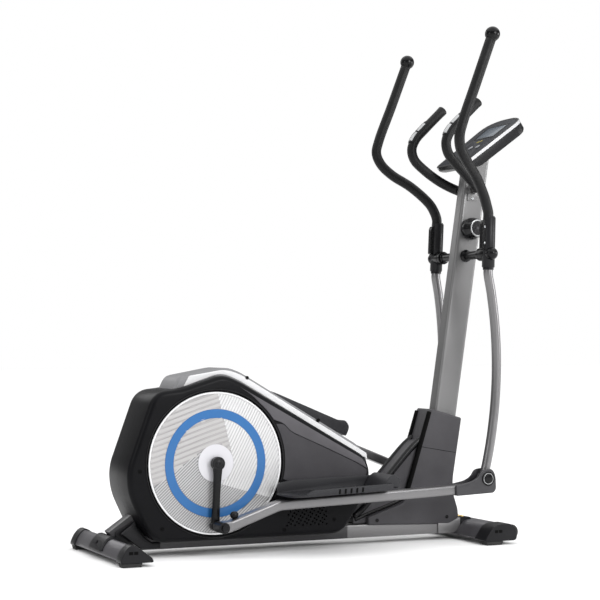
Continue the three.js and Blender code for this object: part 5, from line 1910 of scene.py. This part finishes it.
@dataclass
class Mast:
    """The leaning mast, the pivot axle's collars, the clamp plate and the knob."""

    foot_x: float = 0.402
    lean: float = 8.7
    depth: float = 0.083
    width: float = 0.048
    corner: float = 0.012
    knob_z: float = 1.016
    bar_z: float = 1.145
    pivot: tuple[float, float] = UPPER_PIVOT

    @property
    def place(self) -> Matrix:
        """The mast's own frame, up along its axis."""
        turn = Matrix.Rotation(math.radians(self.lean), 4, "Y")
        return Matrix.Translation((self.foot_x, 0, 0)) @ turn

    def x_at(self, z: float) -> float:
        """Where the mast's axis stands at a height."""
        return self.foot_x + z * math.tan(math.radians(self.lean))

    def build(self) -> None:
        """Makes every piece of the mast."""
        self.tube()
        self.axle()
        self.clamp()
        self.knob()

    def tube(self) -> None:
        """The mast's tube, cut off square to the console above."""
        plan = rectangle(self.depth / 2, self.width / 2, self.corner)
        levels = [0.05 + 1.3 * k / 12 for k in range(13)]
        rings = [[Vector((u, v, level)) for u, v in rounded(plan, 10)] for level in levels]
        form = Form().loft(rings).moved(self.place)
        console = Console()
        up = console.place.to_3x3() @ Vector((0, 0, 1))
        cuts = [
            (Vector((0, 0, 0.0695)), Vector((0, 0, -1))),
            (console.place @ Vector((0, 0, -console.thickness - 0.0004)), up),
        ]
        for point, out in cuts:
            everything = [*form.bm.verts, *form.bm.edges, *form.bm.faces]
            made = bmesh.ops.bisect_plane(
                form.bm, geom=everything, plane_co=point, plane_no=out, clear_outer=True
            )
            rim = [e for e in made["geom_cut"] if isinstance(e, bmesh.types.BMEdge)]
            bmesh.ops.contextual_create(form.bm, geom=rim)
        made = form.piece("mast_tube", MAST_COAT, "frame", 40)
        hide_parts("mast")

    def axle(self) -> None:
        """The pivot axle with a collar against each side of the mast."""
        x, z = self.pivot
        inner, outer = self.width / 2, 0.1185
        for side in Side:
            profile = [
                (0.0, 0.01), (0.02, inner + 0.0002), (0.02, inner + 0.006),
                (0.017, inner + 0.008), (0.0138, inner + 0.01), (0.0138, outer - 0.01),
                (0.017, outer - 0.008), (0.017, outer - 0.0012), (0.0, outer - 0.0012),
            ]
            place = side_plane(side) @ Matrix.Translation((x, z, 0.0))
            form = Form().lathe(profile, 40).moved(place)
            form.piece(f"axle_collar_{side.word}", SATIN_BLACK, "frame", 40)

    def clamp(self) -> None:
        """The clamp plate over the handlebar, with its bolts, on the right of the mast."""
        softened("handlebar_clamp", MAST_COAT, 0.0006)
        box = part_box("handlebar_clamp")
        x = (box[0].x + box[1].x) / 2
        face = -box[0].y
        spots = [(x - 0.0045, self.bar_z - 0.028), (x + 0.0035, self.bar_z + 0.0165)]
        profile = [
            (0.0, -0.001), (0.0052, -0.001), (0.0052, 0.0012), (0.0045, 0.0028), (0.0027, 0.0034),
            (0.0024, 0.0016), (0.0, 0.0014),
        ]
        head = Form().lathe(profile, 24)
        places = [Matrix.Translation((u, v, face)) for u, v in spots]
        head.copied(places).moved(side_plane(Side.RIGHT))
        head.piece("clamp_bolts", STEEL, "frame", 30)

    def knob(self) -> None:
        """The tension knob: a fluted black body, a bright ring and a ringed face."""
        x, z, inner = self.x_at(self.knob_z), self.knob_z, self.width / 2 + 0.001
        place = side_plane(Side.RIGHT) @ Matrix.Translation((x, z, 0.0))
        rings = []
        levels = [
            (0.034, 0.0, 0.0), (0.036, 0.003, 0.0), (0.0358, 0.02, 0.0), (0.0352, 0.022, 0.6),
            (0.033, 0.034, 1.0), (0.0306, 0.045, 1.0), (0.03, 0.0475, 0.3), (0.0288, 0.049, 0.0),
        ]
        for radius, level, flute in levels:
            ring = []
            for i in range(96):
                turn = 2 * math.pi * i / 96
                r = radius - 0.0007 * flute * (0.5 + 0.5 * math.cos(turn * 24))
                ring.append(Vector((r * math.cos(turn), r * math.sin(turn), inner + level)))
            rings.append(ring)
        made = Form().loft(rings).moved(place).piece("knob_body", SATIN_BLACK, "knob", 45)
        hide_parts("tension_knob")
        top = inner + 0.049
        bright = [
            (0.0236, top - 0.001), (0.0236, top + 0.0006), (0.0246, top + 0.001),
            (0.0272, top + 0.001), (0.0282, top + 0.0004), (0.0282, top - 0.001),
            (0.0236, top - 0.001),
        ]
        Form().lathe(bright, 72).moved(place).piece("knob_ring", CHROME, "knob", 40)
        face = [(0.0, top + 0.0004), (0.004, top + 0.0004)]
        for k in range(6):
            r = 0.0052 + 0.003 * k
            face += [(r, top + 0.0004), (r + 0.0005, top - 0.0002), (r + 0.0018, top - 0.0002)]
            face += [(r + 0.0023, top + 0.0004)]
        face += [(0.0234, top + 0.0004), (0.0234, top - 0.001), (0.0, top - 0.001)]
        Form().lathe(list(reversed(face)), 72).moved(place).piece("knob_face", CHARCOAL, "knob", 30)


@dataclass
class Console:
    """The console on top of the mast: body, side bands, face film, window and buttons."""

    rear: tuple[float, float] = (0.493, 1.226)
    half_width: float = 0.112
    length: float = 0.282
    thickness: float = 0.043
    tilt: float = 36.5

    @property
    def place(self) -> Matrix:
        """The console's own frame.

        Returns:
            Its place: forward runs up the slope, and z = 0 is its rim.
        """
        turn = math.radians(self.tilt)
        x = self.rear[0] + self.length / 2 * math.cos(turn)
        z = self.rear[1] + self.length / 2 * math.sin(turn)
        return Matrix.Translation((x, 0, z)) @ Matrix.Rotation(-turn, 4, "Y")

    def plan(self) -> list[Corner]:
        """The console's outline in its own plane.

        Returns:
            Its corners, anticlockwise.
        """
        half, wide = self.length / 2, self.half_width
        return [
            (-half, -wide + 0.014, 0.026), (half - 0.026, -wide, 0.06),
            (half, -wide * 0.45, 0.04), (half, wide * 0.45, 0.04), (half - 0.026, wide, 0.06),
            (-half, wide - 0.014, 0.026),
        ]

    def build(self) -> None:
        """Makes every piece of the console."""
        softened("console_body", BLACK, 0.0035, "console_shell", 22.0, 3)
        softened("console_face", FACE_FILM, 0.0008, "console_overlay")
        softened("display_window", WINDOW, 0.0006, "display_lens")
        for n in (1, 2, 3):
            softened(f"console_button_{n}", BUTTON, 0.001, f"button_cap_{n}")
        self.band()
        self.bezel()
        self.marks()

    def band(self) -> None:
        """The silver band that runs round the sides and the back of the rim."""
        outline = rounded(shrunk(self.plan(), -0.0009), 10)
        inner = rounded(shrunk(self.plan(), 0.002), 10)
        count = len(outline)
        for side in Side:
            run = [
                i for i in range(count)
                if side.value * outline[i][1] > 0.03 and outline[i][0] > -self.length / 2 - 0.01
            ]
            run.sort(key=lambda i: self.order(outline[i], side))
            form = Form()
            rings = []
            for k, i in enumerate(run):
                share = k / (len(run) - 1)
                deep = 0.005 + 0.0055 * math.sin(math.pi * min(1.0, 0.12 + share * 0.8))
                top = -0.0012
                (u0, v0), (u1, v1) = outline[i], inner[i]
                rings.append([
                    Vector((u0, v0, top)), Vector((u0, v0, top - deep)),
                    Vector((u1, v1, top - deep)), Vector((u1, v1, top)),
                ])
            form.loft(rings).moved(self.place)
            form.piece(f"console_band_{side.word}", SILVER, "frame", 35)

    @staticmethod
    def order(point: tuple[float, float], side: Side) -> float:
        """How far round the rim a point is.

        Args:
            point: the point.
            side: the side of the run.

        Returns:
            A number that grows from the rear edge's middle to the front edge's middle.
        """
        return -math.atan2(side.value * point[1] - 0.02, -point[0])

    def bezel(self) -> None:
        """The raised frame round the display."""
        x0, x1, wide, rim = 0.024, 0.096, 0.06, 0.005
        section = [(0.0, -0.002), (0.0, 0.0006), (0.0008, 0.0012), (rim, 0.0008), (rim, -0.002)]
        rings = []
        for grow, level in section:
            corners = [
                (x0 - grow, -wide - grow, 0.003 + grow), (x1 + grow, -wide - grow, 0.003 + grow),
                (x1 + grow, wide + grow, 0.003 + grow), (x0 - grow, wide + grow, 0.003 + grow),
            ]
            rings.append([Vector((u, v, level)) for u, v in rounded(corners, 6)])
        rings.append(rings[0])
        form = Form().loft(rings, False).moved(self.place)
        form.piece("display_bezel", SATIN_BLACK, "frame", 35)

    def marks(self) -> None:
        """The film's plain yellow tick bars, and the dark rings round the buttons."""
        form = Form()
        ticks = [(0.001, -0.006, 0.024), (-0.004, 0.003, 0.014), (0.0056, -0.012, 0.01)]
        for u, v, wide in ticks:
            first = len(form.bm.verts)
            form.plate(rectangle(0.0012, wide / 2, 0.0008), -0.0004, 0.0003, 0.0001, 3)
            form.moved(Matrix.Translation((u, v, 0.0)), first)
        form.moved(self.place).piece("film_tick", YELLOW, "frame", 30)
        ring = Form().lathe(
            [(0.01, -0.0004), (0.01, 0.0006), (0.0106, 0.0009), (0.0116, 0.0009),
             (0.0122, 0.0005), (0.0122, -0.0004), (0.01, -0.0004)], 40,
        )
        ring.copied([Matrix.Translation((-0.038, v, 0.0)) for v in (-0.044, 0.0, 0.044)])
        ring.moved(self.place).piece("button_rings", SATIN_BLACK, "frame", 30)


@dataclass
class FixedBars:
    """The fixed handlebar with foam grips and pulse plates."""

    bar: tuple[float, float] = (Mast().x_at(Mast.bar_z) - 0.008, Mast.bar_z)
    spread: float = 0.114
    bar_radius: float = 0.011
    grip_radius: float = 0.016
    bead: float = 0.0008
    bead_reach: float = 0.012  # share of the grip's length

    def line(self, side: Side) -> list[Vector]:
        """One half's centre line, from the middle plane to the tip.

        Args:
            side: the side.

        Returns:
            Points along it.
        """
        x, z = self.bar
        s = self.spread
        runs = [
            (0.0, 0.0, 0.0), (0.0, 0.02, 0.0), (0.0, 0.04, 0.0), (-0.012, 0.064, 0.007),
            (-0.058, s - 0.024, 0.034), (-0.112, s - 0.008, 0.074), (-0.146, s - 0.002, 0.108),
            (-0.154, s, 0.142), (-0.14, s, 0.176), (-0.106, s, 0.212), (-0.035, s, 0.28),
        ]
        return smooth_path([(x + a, side.value * b, z + c) for a, b, c in runs], 8)

    def build(self) -> None:
        """Makes the bar, the grips, their end plugs and the pulse plates."""
        right, left = self.line(Side.RIGHT), self.line(Side.LEFT)
        form = Form().sweep([*reversed(right[1:-3]), *left[:-3]], self.bar_radius, 24)
        made = form.piece("handlebar_tube", GREY_COAT, "frame", 45)
        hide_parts("fixed_handlebar")
        for side in Side:
            line = self.line(side)
            form = Form().sweep(line[22:], self.swell, 32, 0.0035)
            made = form.piece(f"grip_foam_{side.word}", FOAM, "frame", 50)
            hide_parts(f"fixed_grip_{side.word}")
            ahead = (line[-1] - line[-2]).normalized()
            profile = [
                (0.0, -0.004), (0.015, -0.004), (0.0158, 0.0), (0.015, 0.0032), (0.011, 0.0048),
                (0.0, 0.0052),
            ]
            plug = Form().lathe(profile, 32).moved(turned_to(ahead, line[-1] - ahead * 0.001))
            plug.piece(f"grip_plug_{side.word}", SATIN_BLACK, "frame", 50)
            self.pulse(side, line)

    def swell(self, share: float) -> float:
        """The grip's radius at a share of its length, with a small bead at each end."""
        near, far = share / self.bead_reach, (1 - share) / self.bead_reach
        return self.grip_radius + self.bead * (math.exp(-(near**2)) + math.exp(-(far**2)))

    def pulse(self, side: Side, line: list[Vector]) -> None:
        """The pulse plates let into the palm side of a grip.

        Args:
            side: the side.
            line: the grip's centre line.
        """
        span = [p for p in line if 1.303 < p.z < 1.384 and p.x < self.bar[0] - 0.085]
        form = self.strip(span, self.grip_radius + 0.0006, self.grip_radius + 0.0022, 62)
        made = form.piece(f"pulse_frame_{side.word}", SATIN_BLACK, "frame", 35)
        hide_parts(f"pulse_sensor_{side.word}")
        middle = len(span) // 2
        for word, part in (("lower", span[1 : middle + 1]), ("upper", span[middle + 1 : -1])):
            plate = self.strip(part, self.grip_radius + 0.0018, self.grip_radius + 0.0032, 40)
            plate.piece(f"pulse_plate_{word}_{side.word}", CHROME, "frame", 35)

    @staticmethod
    def strip(path: Sequence[Vector], low: float, high: float, half_angle: float) -> Form:
        """A curved plate along one side of a bar.

        Args:
            path: the bar's centre line.
            low: the plate's inner radius.
            high: its outer radius.
            half_angle: half of the angle it covers, in degrees.

        Returns:
            The plate's form.
        """
        rings = []
        last = len(path) - 1
        for i, point in enumerate(path):
            ahead = (path[min(i + 1, last)] - path[max(i - 1, 0)]).normalized()
            across = Vector((0, 1, 0))
            up = ahead.cross(across).normalized()
            if up.x > 0:
                up = -up
            angles = [math.radians(half_angle * (k / 8 - 1)) for k in range(17)]
            outwards = [up * math.cos(a) + across * math.sin(a) for a in angles]
            face = [point + out * high for out in outwards]
            rings.append([*face, *(point + out * low for out in reversed(outwards))])
        return Form().loft(rings)


@dataclass
class SwingArms:
    """The two swing arms: handles, grips, knobs, pivot sleeves and lower tubes."""

    link: Linkage
    tube_radius: float = 0.015
    handle_radius: float = 0.0165
    knob_radius: float = 0.024

    def build(self) -> None:
        """Makes both arms."""
        for side in Side:
            self.handle(side)
            self.sleeve(side)
            self.tube(side)

    def body(self, side: Side) -> str:
        """The body that carries a swing arm."""
        return f"{side.word}_swing_arm"

    def handle_line(self, side: Side) -> list[Vector]:
        """The handle's centre line.

        Args:
            side: the side.

        Returns:
            Points along it, in the arm's frame.
        """
        runs = [
            (-0.004, 0.168, 0.044), (-0.004, 0.168, 0.08), (-0.004, 0.168, 0.114),
            (-0.0045, 0.168, 0.132), (-0.012, 0.17, 0.154), (-0.029, 0.179, 0.185),
            (-0.083, 0.215, 0.241), (-0.14, 0.252, 0.282), (-0.174, 0.271, 0.318),
            (-0.186, 0.284, 0.356), (-0.178, 0.287, 0.396), (-0.133, 0.287, 0.524),
            (-0.082, 0.288, 0.671),
        ]
        return smooth_path([(x, side.value * y, z) for x, y, z in runs], 8)

    def handle(self, side: Side) -> None:
        """One handle: foam over the whole of its upper run, and the ball on its end.

        Args:
            side: the side.
        """
        place = self.link.swing_place(side)
        line = self.handle_line(side)
        core = Form().sweep(line[:34], 0.0142, 24).moved(place)
        made = core.piece(f"handle_tube_{side.word}", GREY_COAT, self.body(side), 50)
        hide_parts(f"handle_{side.word}")

        def swell(share: float) -> float:
            """The sleeve's radius along it, with a soft lower lip."""
            return self.handle_radius + 0.0009 * math.exp(-((share / 0.006) ** 2))

        foam = Form().sweep(line[16:], swell, 32, 0.004).moved(place)
        foam.piece(f"handle_foam_{side.word}", FOAM, self.body(side), 50)
        ahead = (line[-1] - line[-2]).normalized()
        r = self.knob_radius - 0.0001
        profile = [(0.0, -0.01), (0.013, -0.01), (0.0166, -0.006), (0.017, -0.002)]
        for k in range(4, 25):
            turn = math.pi * (1 - k / 24)
            if r * math.cos(turn) < -0.0165:
                continue
            profile.append((r * math.sin(turn), 0.0143 + r * math.cos(turn)))
        profile[-1] = (0.0, 0.0143 + r)
        ball = Form().lathe(profile, 48)
        ball.moved(turned_to(ahead, line[-1])).moved(place)
        made = ball.piece(f"handle_ball_{side.word}", SATIN_BLACK, self.body(side), 50)
        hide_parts(f"handle_knob_{side.word}")

    def sleeve(self, side: Side) -> None:
        """The pivot sleeve: collars round the arm, the barrel on the axle and its cap.

        Args:
            side: the side.
        """
        place, y = self.link.swing_place(side), self.link.arm_y
        upright = Matrix.Translation((0.0, side.value * y, 0.0))
        collar = [
            (0.0, -0.052), (0.016, -0.052), (0.0175, -0.0505), (0.0175, -0.044),
            (0.0196, -0.0435), (0.0205, -0.042), (0.0205, 0.1165), (0.0196, 0.118),
            (0.0175, 0.1185), (0.0175, 0.121), (0.0166, 0.122), (0.0, 0.122),
        ]
        form = Form().lathe(collar, 48).moved(upright)
        made = form.moved(place).piece(f"sleeve_{side.word}", BLACK, self.body(side), 35)
        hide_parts(f"pivot_sleeve_{side.word}")
        across = turned_to(Vector((0, side.value, 0)), Vector((0, 0, 0)))
        barrel = [
            (0.015, 0.1182), (0.0196, 0.1182), (0.0215, 0.12), (0.0215, 0.13), (0.0207, 0.1306),
            (0.0207, 0.133), (0.0215, 0.1336), (0.0215, 0.1665), (0.0206, 0.168), (0.0172, 0.1688),
            *self.bulb(0.0205, 0.186),
            (0.0, 0.16), (0.015, 0.16), (0.015, 0.1182),
        ]
        form = Form().lathe(barrel, 56).moved(across).moved(place)
        form.piece(f"sleeve_barrel_{side.word}", SATIN_BLACK, self.body(side), 35)
        lug = [(-0.03, 0.014, 0.004), (-0.01, 0.01, 0.0), (-0.01, 0.11, 0.0), (-0.026, 0.108, 0.006),
               (-0.03, 0.098, 0.006)]
        form = Form().plate(lug, y - 0.009, y + 0.009, 0.002, 8).moved(side_plane(side))
        form.moved(place).piece(f"sleeve_lug_{side.word}", SATIN_BLACK, self.body(side), 35)
        spots = [Matrix.Translation((-0.02, z, y + 0.009)) for z in (0.034, 0.086)]
        form = screw(Form(), 0.0042).copied(spots).moved(side_plane(side)).moved(place)
        form.piece(f"sleeve_screws_{side.word}", STEEL, self.body(side), 30)

    @staticmethod
    def bulb(radius: float, at: float) -> list[tuple[float, float]]:
        """The profile of a ball on the end of a barrel.

        Args:
            radius: the ball's radius.
            at: how far out its centre stands.

        Returns:
            Radius and distance out, from its neck to its pole.
        """
        turns = [math.radians(40 + 140 * k / 14) for k in range(15)]
        arc = [(radius * math.sin(turn), at - radius * math.cos(turn)) for turn in turns]
        return [*arc[:-1], (0.0, at + radius)]

    def tube(self, side: Side) -> None:
        """The bowed lower tube and its eye on the lower pivot.

        Args:
            side: the side.
        """
        place, y = self.link.swing_place(side), side.value * self.link.arm_y
        runs: list[Point] = [(0.0, y, -0.0225), (0.0, y, -0.048), (0.0, y, -0.064)]
        for k in range(1, 13):
            t = k / 12
            runs.append((0.0394 * 4 * t * (1 - t), y, -0.064 - (0.72 - 0.064) * t))
        form = Form().sweep(smooth_path(runs, 6), self.tube_radius, 28).moved(place)
        made = form.piece(f"swing_tube_shell_{side.word}", GREY_COAT, self.body(side), 50)
        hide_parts(f"swing_tube_{side.word}")
        across = turned_to(
            Vector((0, side.value, 0)), Vector((0.0, 0.0, -self.link.swing_length))
        )
        eye = [
            (0.0092, 0.1532), (0.0158, 0.1532), (0.017, 0.1544), (0.017, 0.1818), (0.0158, 0.183),
            (0.0092, 0.183), (0.0092, 0.1532),
        ]
        form = Form().lathe(eye, 48).moved(across).moved(place)
        form.piece(f"swing_eye_{side.word}", GREY_COAT, self.body(side), 35)


@dataclass
class PedalArms:
    """The two pedal arms with their brackets, rear yokes and foot trays."""

    link: Linkage
    half_width: float = 0.02
    half_height: float = 0.015
    tray_inner: float = 0.125
    tray_outer: float = 0.27

    def build(self) -> None:
        """Makes both pedal arms and trays."""
        for side in Side:
            self.beam(side)
            self.rear(side)
            self.bracket(side)
            self.foot_tray(side)
            self.grooves(side)
            self.treads(side)

    def body(self, side: Side) -> str:
        """The body that carries a pedal arm."""
        return f"{side.word}_pedal_arm"

    def beam(self, side: Side) -> None:
        """The bent rectangular tube.

        Args:
            side: the side.
        """
        (bx, bz), (fx, fz) = self.link.bend, self.link.front
        runs = [(-0.889, 0.0), (-0.8, 0.019), (bx - 0.03, bz - 0.0065), (bx, bz - 0.001),
                (bx + 0.03, bz - 0.003)]
        for t in (0.3, 0.6, 0.85, 1.0):
            runs.append((bx + (fx - bx) * t, bz + (fz - bz) * t))
        path = smooth_path([(x, 0.0, z) for x, z in runs], 6)
        plan = rounded(rectangle(self.half_width, self.half_height, 0.007), 6)
        rings = []
        last = len(path) - 1
        for i, point in enumerate(path):
            ahead = (path[min(i + 1, last)] - path[max(i - 1, 0)]).normalized()
            up = ahead.cross(Vector((0, 1, 0)))
            up = up if up.z > 0 else -up
            middle = point + Vector((0, side.value * self.link.arm_y, 0))
            rings.append([middle + Vector((0, u, 0)) + up * v for u, v in plan])
        form = Form().loft(rings).moved(self.link.pedal_place(side))
        made = form.piece(f"pedal_beam_{side.word}", GREY_COAT, self.body(side), 40)
        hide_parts(f"pedal_arm_{side.word}")

    def rear(self, side: Side) -> None:
        """The yoke and barrel on the crank pin.

        Args:
            side: the side.
        """
        place = self.link.pedal_place(side)
        across = turned_to(
            Vector((0, side.value, 0)), Vector((-self.link.pedal_length, 0.0, 0.0))
        )
        barrel = [
            (0.0, 0.1235), (0.0118, 0.1235), (0.013, 0.1247), (0.013, 0.14), (0.017, 0.1412),
            (0.017, 0.1888), (0.016, 0.19), (0.0, 0.19),
        ]
        form = Form().lathe(barrel, 48).moved(across).moved(place)
        form.piece(f"crank_barrel_{side.word}", BLACK, self.body(side), 35)
        nut = [
            (0.0, 0.188), (0.0145, 0.188), (0.0145, 0.1905), (0.0104, 0.1908), (0.0104, 0.196),
            (0.0092, 0.1978), (0.0, 0.1982),
        ]
        form = Form().lathe(nut, 12).moved(across).moved(place)
        form.piece(f"crank_nut_{side.word}", SATIN_BLACK, self.body(side), 25)
        self.pull_pin(side)
        yoke = [(-0.911, -0.017, 0.0), (-0.884, -0.015, 0.004), (-0.884, 0.015, 0.004),
                (-0.911, 0.017, 0.0)]
        form = Form().plate(yoke, 0.1445, 0.1885, 0.003, 6).moved(side_plane(side))
        form.moved(place).piece(f"crank_yoke_{side.word}", GREY_COAT, self.body(side), 35)

    def pull_pin(self, side: Side) -> None:
        """The round-headed pull pin on top of the arm's rear end.

        Args:
            side: the side.
        """
        stem = [
            (0.0, -0.006), (0.0085, -0.006), (0.0085, 0.001), (0.0068, 0.0022), (0.0068, 0.003),
            (0.0092, 0.0044), (0.012, 0.008), (0.013, 0.0125), (0.012, 0.0172), (0.0088, 0.0214),
            (0.0046, 0.0236), (0.0, 0.0242),
        ]
        place = Matrix.Translation((-0.868, side.value * self.link.arm_y, 0.018))
        form = Form().lathe(stem, 32).moved(place).moved(self.link.pedal_place(side))
        form.piece(f"pull_pin_{side.word}", SATIN_BLACK, self.body(side), 40)

    def bracket(self, side: Side) -> None:
        """The dark bracket over the lower pivot, with its round bolt cap and bright ring.

        Args:
            side: the side.
        """
        shell = f"bracket_shell_{side.word}"
        softened(f"pivot_bracket_{side.word}", BRACKET, 0.0022, shell, 25, 3)
        place = self.link.pedal_place(side)
        across = turned_to(Vector((0, side.value, 0)), Vector((0.0, 0.0, 0.0)))
        cap = [
            (0.0, 0.1955), (0.0225, 0.1955), (0.0225, 0.1992), (0.0216, 0.2006), (0.0192, 0.201),
            (0.0184, 0.1992), (0.0158, 0.199), (0.015, 0.1998), (0.0136, 0.2012), (0.01, 0.202),
            (0.005, 0.2023), (0.0, 0.2024),
        ]
        form = Form().lathe(cap, 48).moved(across).moved(place)
        form.piece(f"bracket_cap_{side.word}", SATIN_BLACK, self.body(side), 30)
        line = [
            (0.0158, 0.1985), (0.0158, 0.1999), (0.0166, 0.2004), (0.0176, 0.2004), (0.0184, 0.1999),
            (0.0184, 0.1985), (0.0158, 0.1985),
        ]
        form = Form().lathe(line, 64).moved(across).moved(place)
        form.piece(f"bracket_ring_{side.word}", CHROME, self.body(side), 30)

    def foot_tray(self, side: Side) -> None:
        """One foot tray: walls, floor, toe rise and rounded heel."""
        softened(f"pedal_{side.word}", TREAD, 0.0022, f"foot_tray_{side.word}", 24, 3)

    def grooves(self, side: Side) -> None:
        """Slots low on the outer wall, near the front, drawn as thin dead-black plates: painted shade
        of the slots' hollows.

        Args:
            side: the side.
        """
        slot = [
            (-0.0032, 0.0, 0.001), (0.0032, 0.0, 0.001), (0.0052, 0.015, 0.0012),
            (-0.0012, 0.015, 0.0012),
        ]
        # Painted shade: dark plates stand for the shade inside the slots.
        form = Form().plate(slot, self.tray_outer - 0.0012, self.tray_outer + 0.0004, 0.0002, 3)
        form.copied([Matrix.Translation((0.15 + 0.0195 * k, 0.0285, 0.0)) for k in range(5)])
        form.moved(side_plane(side)).moved(self.link.tray_place(side))
        form.piece(f"tray_slots_{side.word}", DEEP_BLACK, self.body(side), 30)

    def treads(self, side: Side) -> None:
        """Raised ribs across the tray's floor.

        Args:
            side: the side.
        """
        width = self.tray_outer - self.tray_inner - 0.044
        middle = side.value * (self.tray_inner + self.tray_outer) / 2
        form = Form().plate(rectangle(0.0028, width / 2, 0.002), 0.0, 0.0016, 0.0006, 3)
        form.copied([Matrix.Translation((0.036 + 0.0145 * k, middle, 0.0328)) for k in range(17)])
        form.moved(self.link.tray_place(side))
        form.piece(f"tray_ribs_{side.word}", TREAD, self.body(side), 30)


@dataclass
class Base:
    """The base: stabilizer tubes, caps, feet, wheels, saddles, the frame and the drive."""

    wheel: tuple[float, float, float] = (0.585, 0.219, 0.037)
    wheel_radius: float = 0.024
    wheel_width: float = 0.026
    cap_face: float = 0.245
    recess_places: tuple[tuple[float, float], ...] = ((-0.688, 0.041), (0.527, 0.043))
    drive: ClassVar[dict[str, Finish]] = {
        "crank_axle": AXLE_STEEL,
        "bearing_cartridge": STEEL,
        "drive_pulley": BLACK,
        "drive_belt": BELT,
        "flywheel": IRON,
        "idler_wheel": BLACK,
        "magnet_brake": BRAKE_STEEL,
        "pivot_axle": SATIN_BLACK,
    }

    def build(self) -> None:
        """Makes the base and finishes the drive."""
        softened("main_frame", FRAME_COAT, 0.0012, "frame_weldment")
        softened("rear_stabilizer", FIN_COAT, 0.001, "rear_fin", 20, 2)
        softened("front_stabilizer", FIN_COAT, 0.001, "front_fin", 20, 2)
        softened("rear_saddle", BLACK, 0.002, "rear_saddle_cover", 25, 3)
        for side in Side:
            softened(f"rear_cap_{side.word}", BLACK, 0.0035, f"rear_end_{side.word}", 22, 3)
            softened(f"front_cap_{side.word}", BLACK, 0.0035, f"front_end_{side.word}", 22, 3)
            softened(f"rear_foot_{side.word}", TYRE, 0.0012, f"rear_pad_{side.word}", 28, 2)
            softened(f"front_foot_{side.word}", TYRE, 0.0012, f"front_pad_{side.word}", 28, 2)
            self.roller(side)
        self.bolts()
        for name, finish in self.drive.items():
            for held in bpy.data.objects[name].material_slots:
                held.material = finish.material()

    def roller(self, side: Side) -> None:
        """A transport wheel: tyre, recessed hub and axle bolt.

        Args:
            side: the side.
        """
        x, y, z = self.wheel
        place = side_plane(side) @ Matrix.Translation((x, z, y))
        half, r = self.wheel_width / 2, self.wheel_radius
        tyre = [
            (r - 0.008, -half + 0.003), (r - 0.006, -half), (r - 0.002, -half), (r, -half + 0.003),
            (r, -0.0022), (r - 0.0012, -0.0014), (r - 0.0012, 0.0014), (r, 0.0022), (r, half - 0.003),
            (r - 0.002, half), (r - 0.006, half), (r - 0.008, half - 0.003), (r - 0.009, half - 0.006),
            (0.006, half - 0.006), (0.005, half - 0.002), (0.0, half - 0.002), (0.0, -half + 0.002),
            (0.005, -half + 0.002), (0.006, -half + 0.006), (r - 0.009, -half + 0.006),
            (r - 0.008, -half + 0.003),
        ]
        form = Form().lathe(tyre, 56).moved(place)
        body = f"{side.word}_transport_wheel"
        made = form.piece(f"wheel_{side.word}", TYRE, body, 35)
        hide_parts(f"transport_wheel_{side.word}")

    def bolts(self) -> None:
        """The saddle over the front tube with its plated bolts, and the rear stay's cover."""
        hood = [
            (0.503, 0.03, 0.002), (0.52, 0.03, 0.002), (0.544, 0.059, 0.002),
            (0.5438, 0.0662, 0.003), (0.5395, 0.07, 0.004), (0.5185, 0.0712, 0.004),
            (0.503, 0.0705, 0.002),
        ]
        lay = side_plane(Side.LEFT)
        form = Form().plate(hood, -0.0492, 0.0492, 0.0012, 3, True).moved(lay)
        form.piece("front_saddle_cover", BLACK, "frame", 35)
        cap = [(0.0, -0.001), (0.0068, -0.001), (0.007, 0.0012), (0.0062, 0.0032), (0.0042, 0.0042),
               (0.0036, 0.0026), (0.0, 0.0024)]
        places = [Matrix.Translation((0.515, y, 0.0708)) for y in (-0.036, -0.012, 0.012, 0.036)]
        Form().lathe(cap, 28).copied(places).piece("front_bolts", GOLD_ZINC, "frame", 40)
        stay = [(-0.67, 0.046, 0.004), (-0.6, 0.032, 0.004), (-0.56, 0.032, 0.004),
                (-0.56, 0.104, 0.01), (-0.6, 0.112, 0.01), (-0.67, 0.078, 0.006)]
        form = Form().plate(stay, -0.027, 0.027, 0.003, 5, True).moved(lay)
        form.piece("rear_stay_cover", BLACK, "frame", 35)
        self.recesses()

    def recesses(self) -> None:
        """The pairs of small recesses in the end caps' outer faces, drawn as thin dead-black plates a
        little proud of the face: painted shade of the hollows.
        """
        shifts = (-0.0075, 0.0075)
        spots = [(x + shift, z, 0.0) for x, z in self.recess_places for shift in shifts]
        low, high = self.cap_face - 0.002, self.cap_face + 0.0003
        for side in Side:
            # Painted shade: dark plates stand for the shade inside the recesses.
            form = Form().plate(rectangle(0.0062, 0.0045, 0.0008), low, high, 0.0001, 3)
            form.copied([Matrix.Translation(spot) for spot in spots]).moved(side_plane(side))
            form.piece(f"cap_recesses_{side.word}", DEEP_BLACK, "frame", 30)


@dataclass
class Trainer:
    """The whole machine, built in order."""

    link: Linkage = field(default_factory=Linkage)

    def build(self) -> None:
        """Builds every sub-assembly and logs how many pieces each one made."""
        crews: list[Any] = [
            Housing(), TurningDiscs(), Cranks(), MastShroud(), Mast(), Console(), FixedBars(),
            SwingArms(self.link), PedalArms(self.link), Base(),
        ]
        for crew in crews:
            before = len(bpy.data.objects)
            crew.build()
            LOG.info("%s: %d pieces", type(crew).__name__, len(bpy.data.objects) - before)


def main() -> None:
    """Loads the frame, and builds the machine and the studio."""
    logging.basicConfig(level=logging.INFO, format="%(name)s: %(message)s")
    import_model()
    Trainer().build()
    Studio().build()


if __name__ == "__main__":
    main()
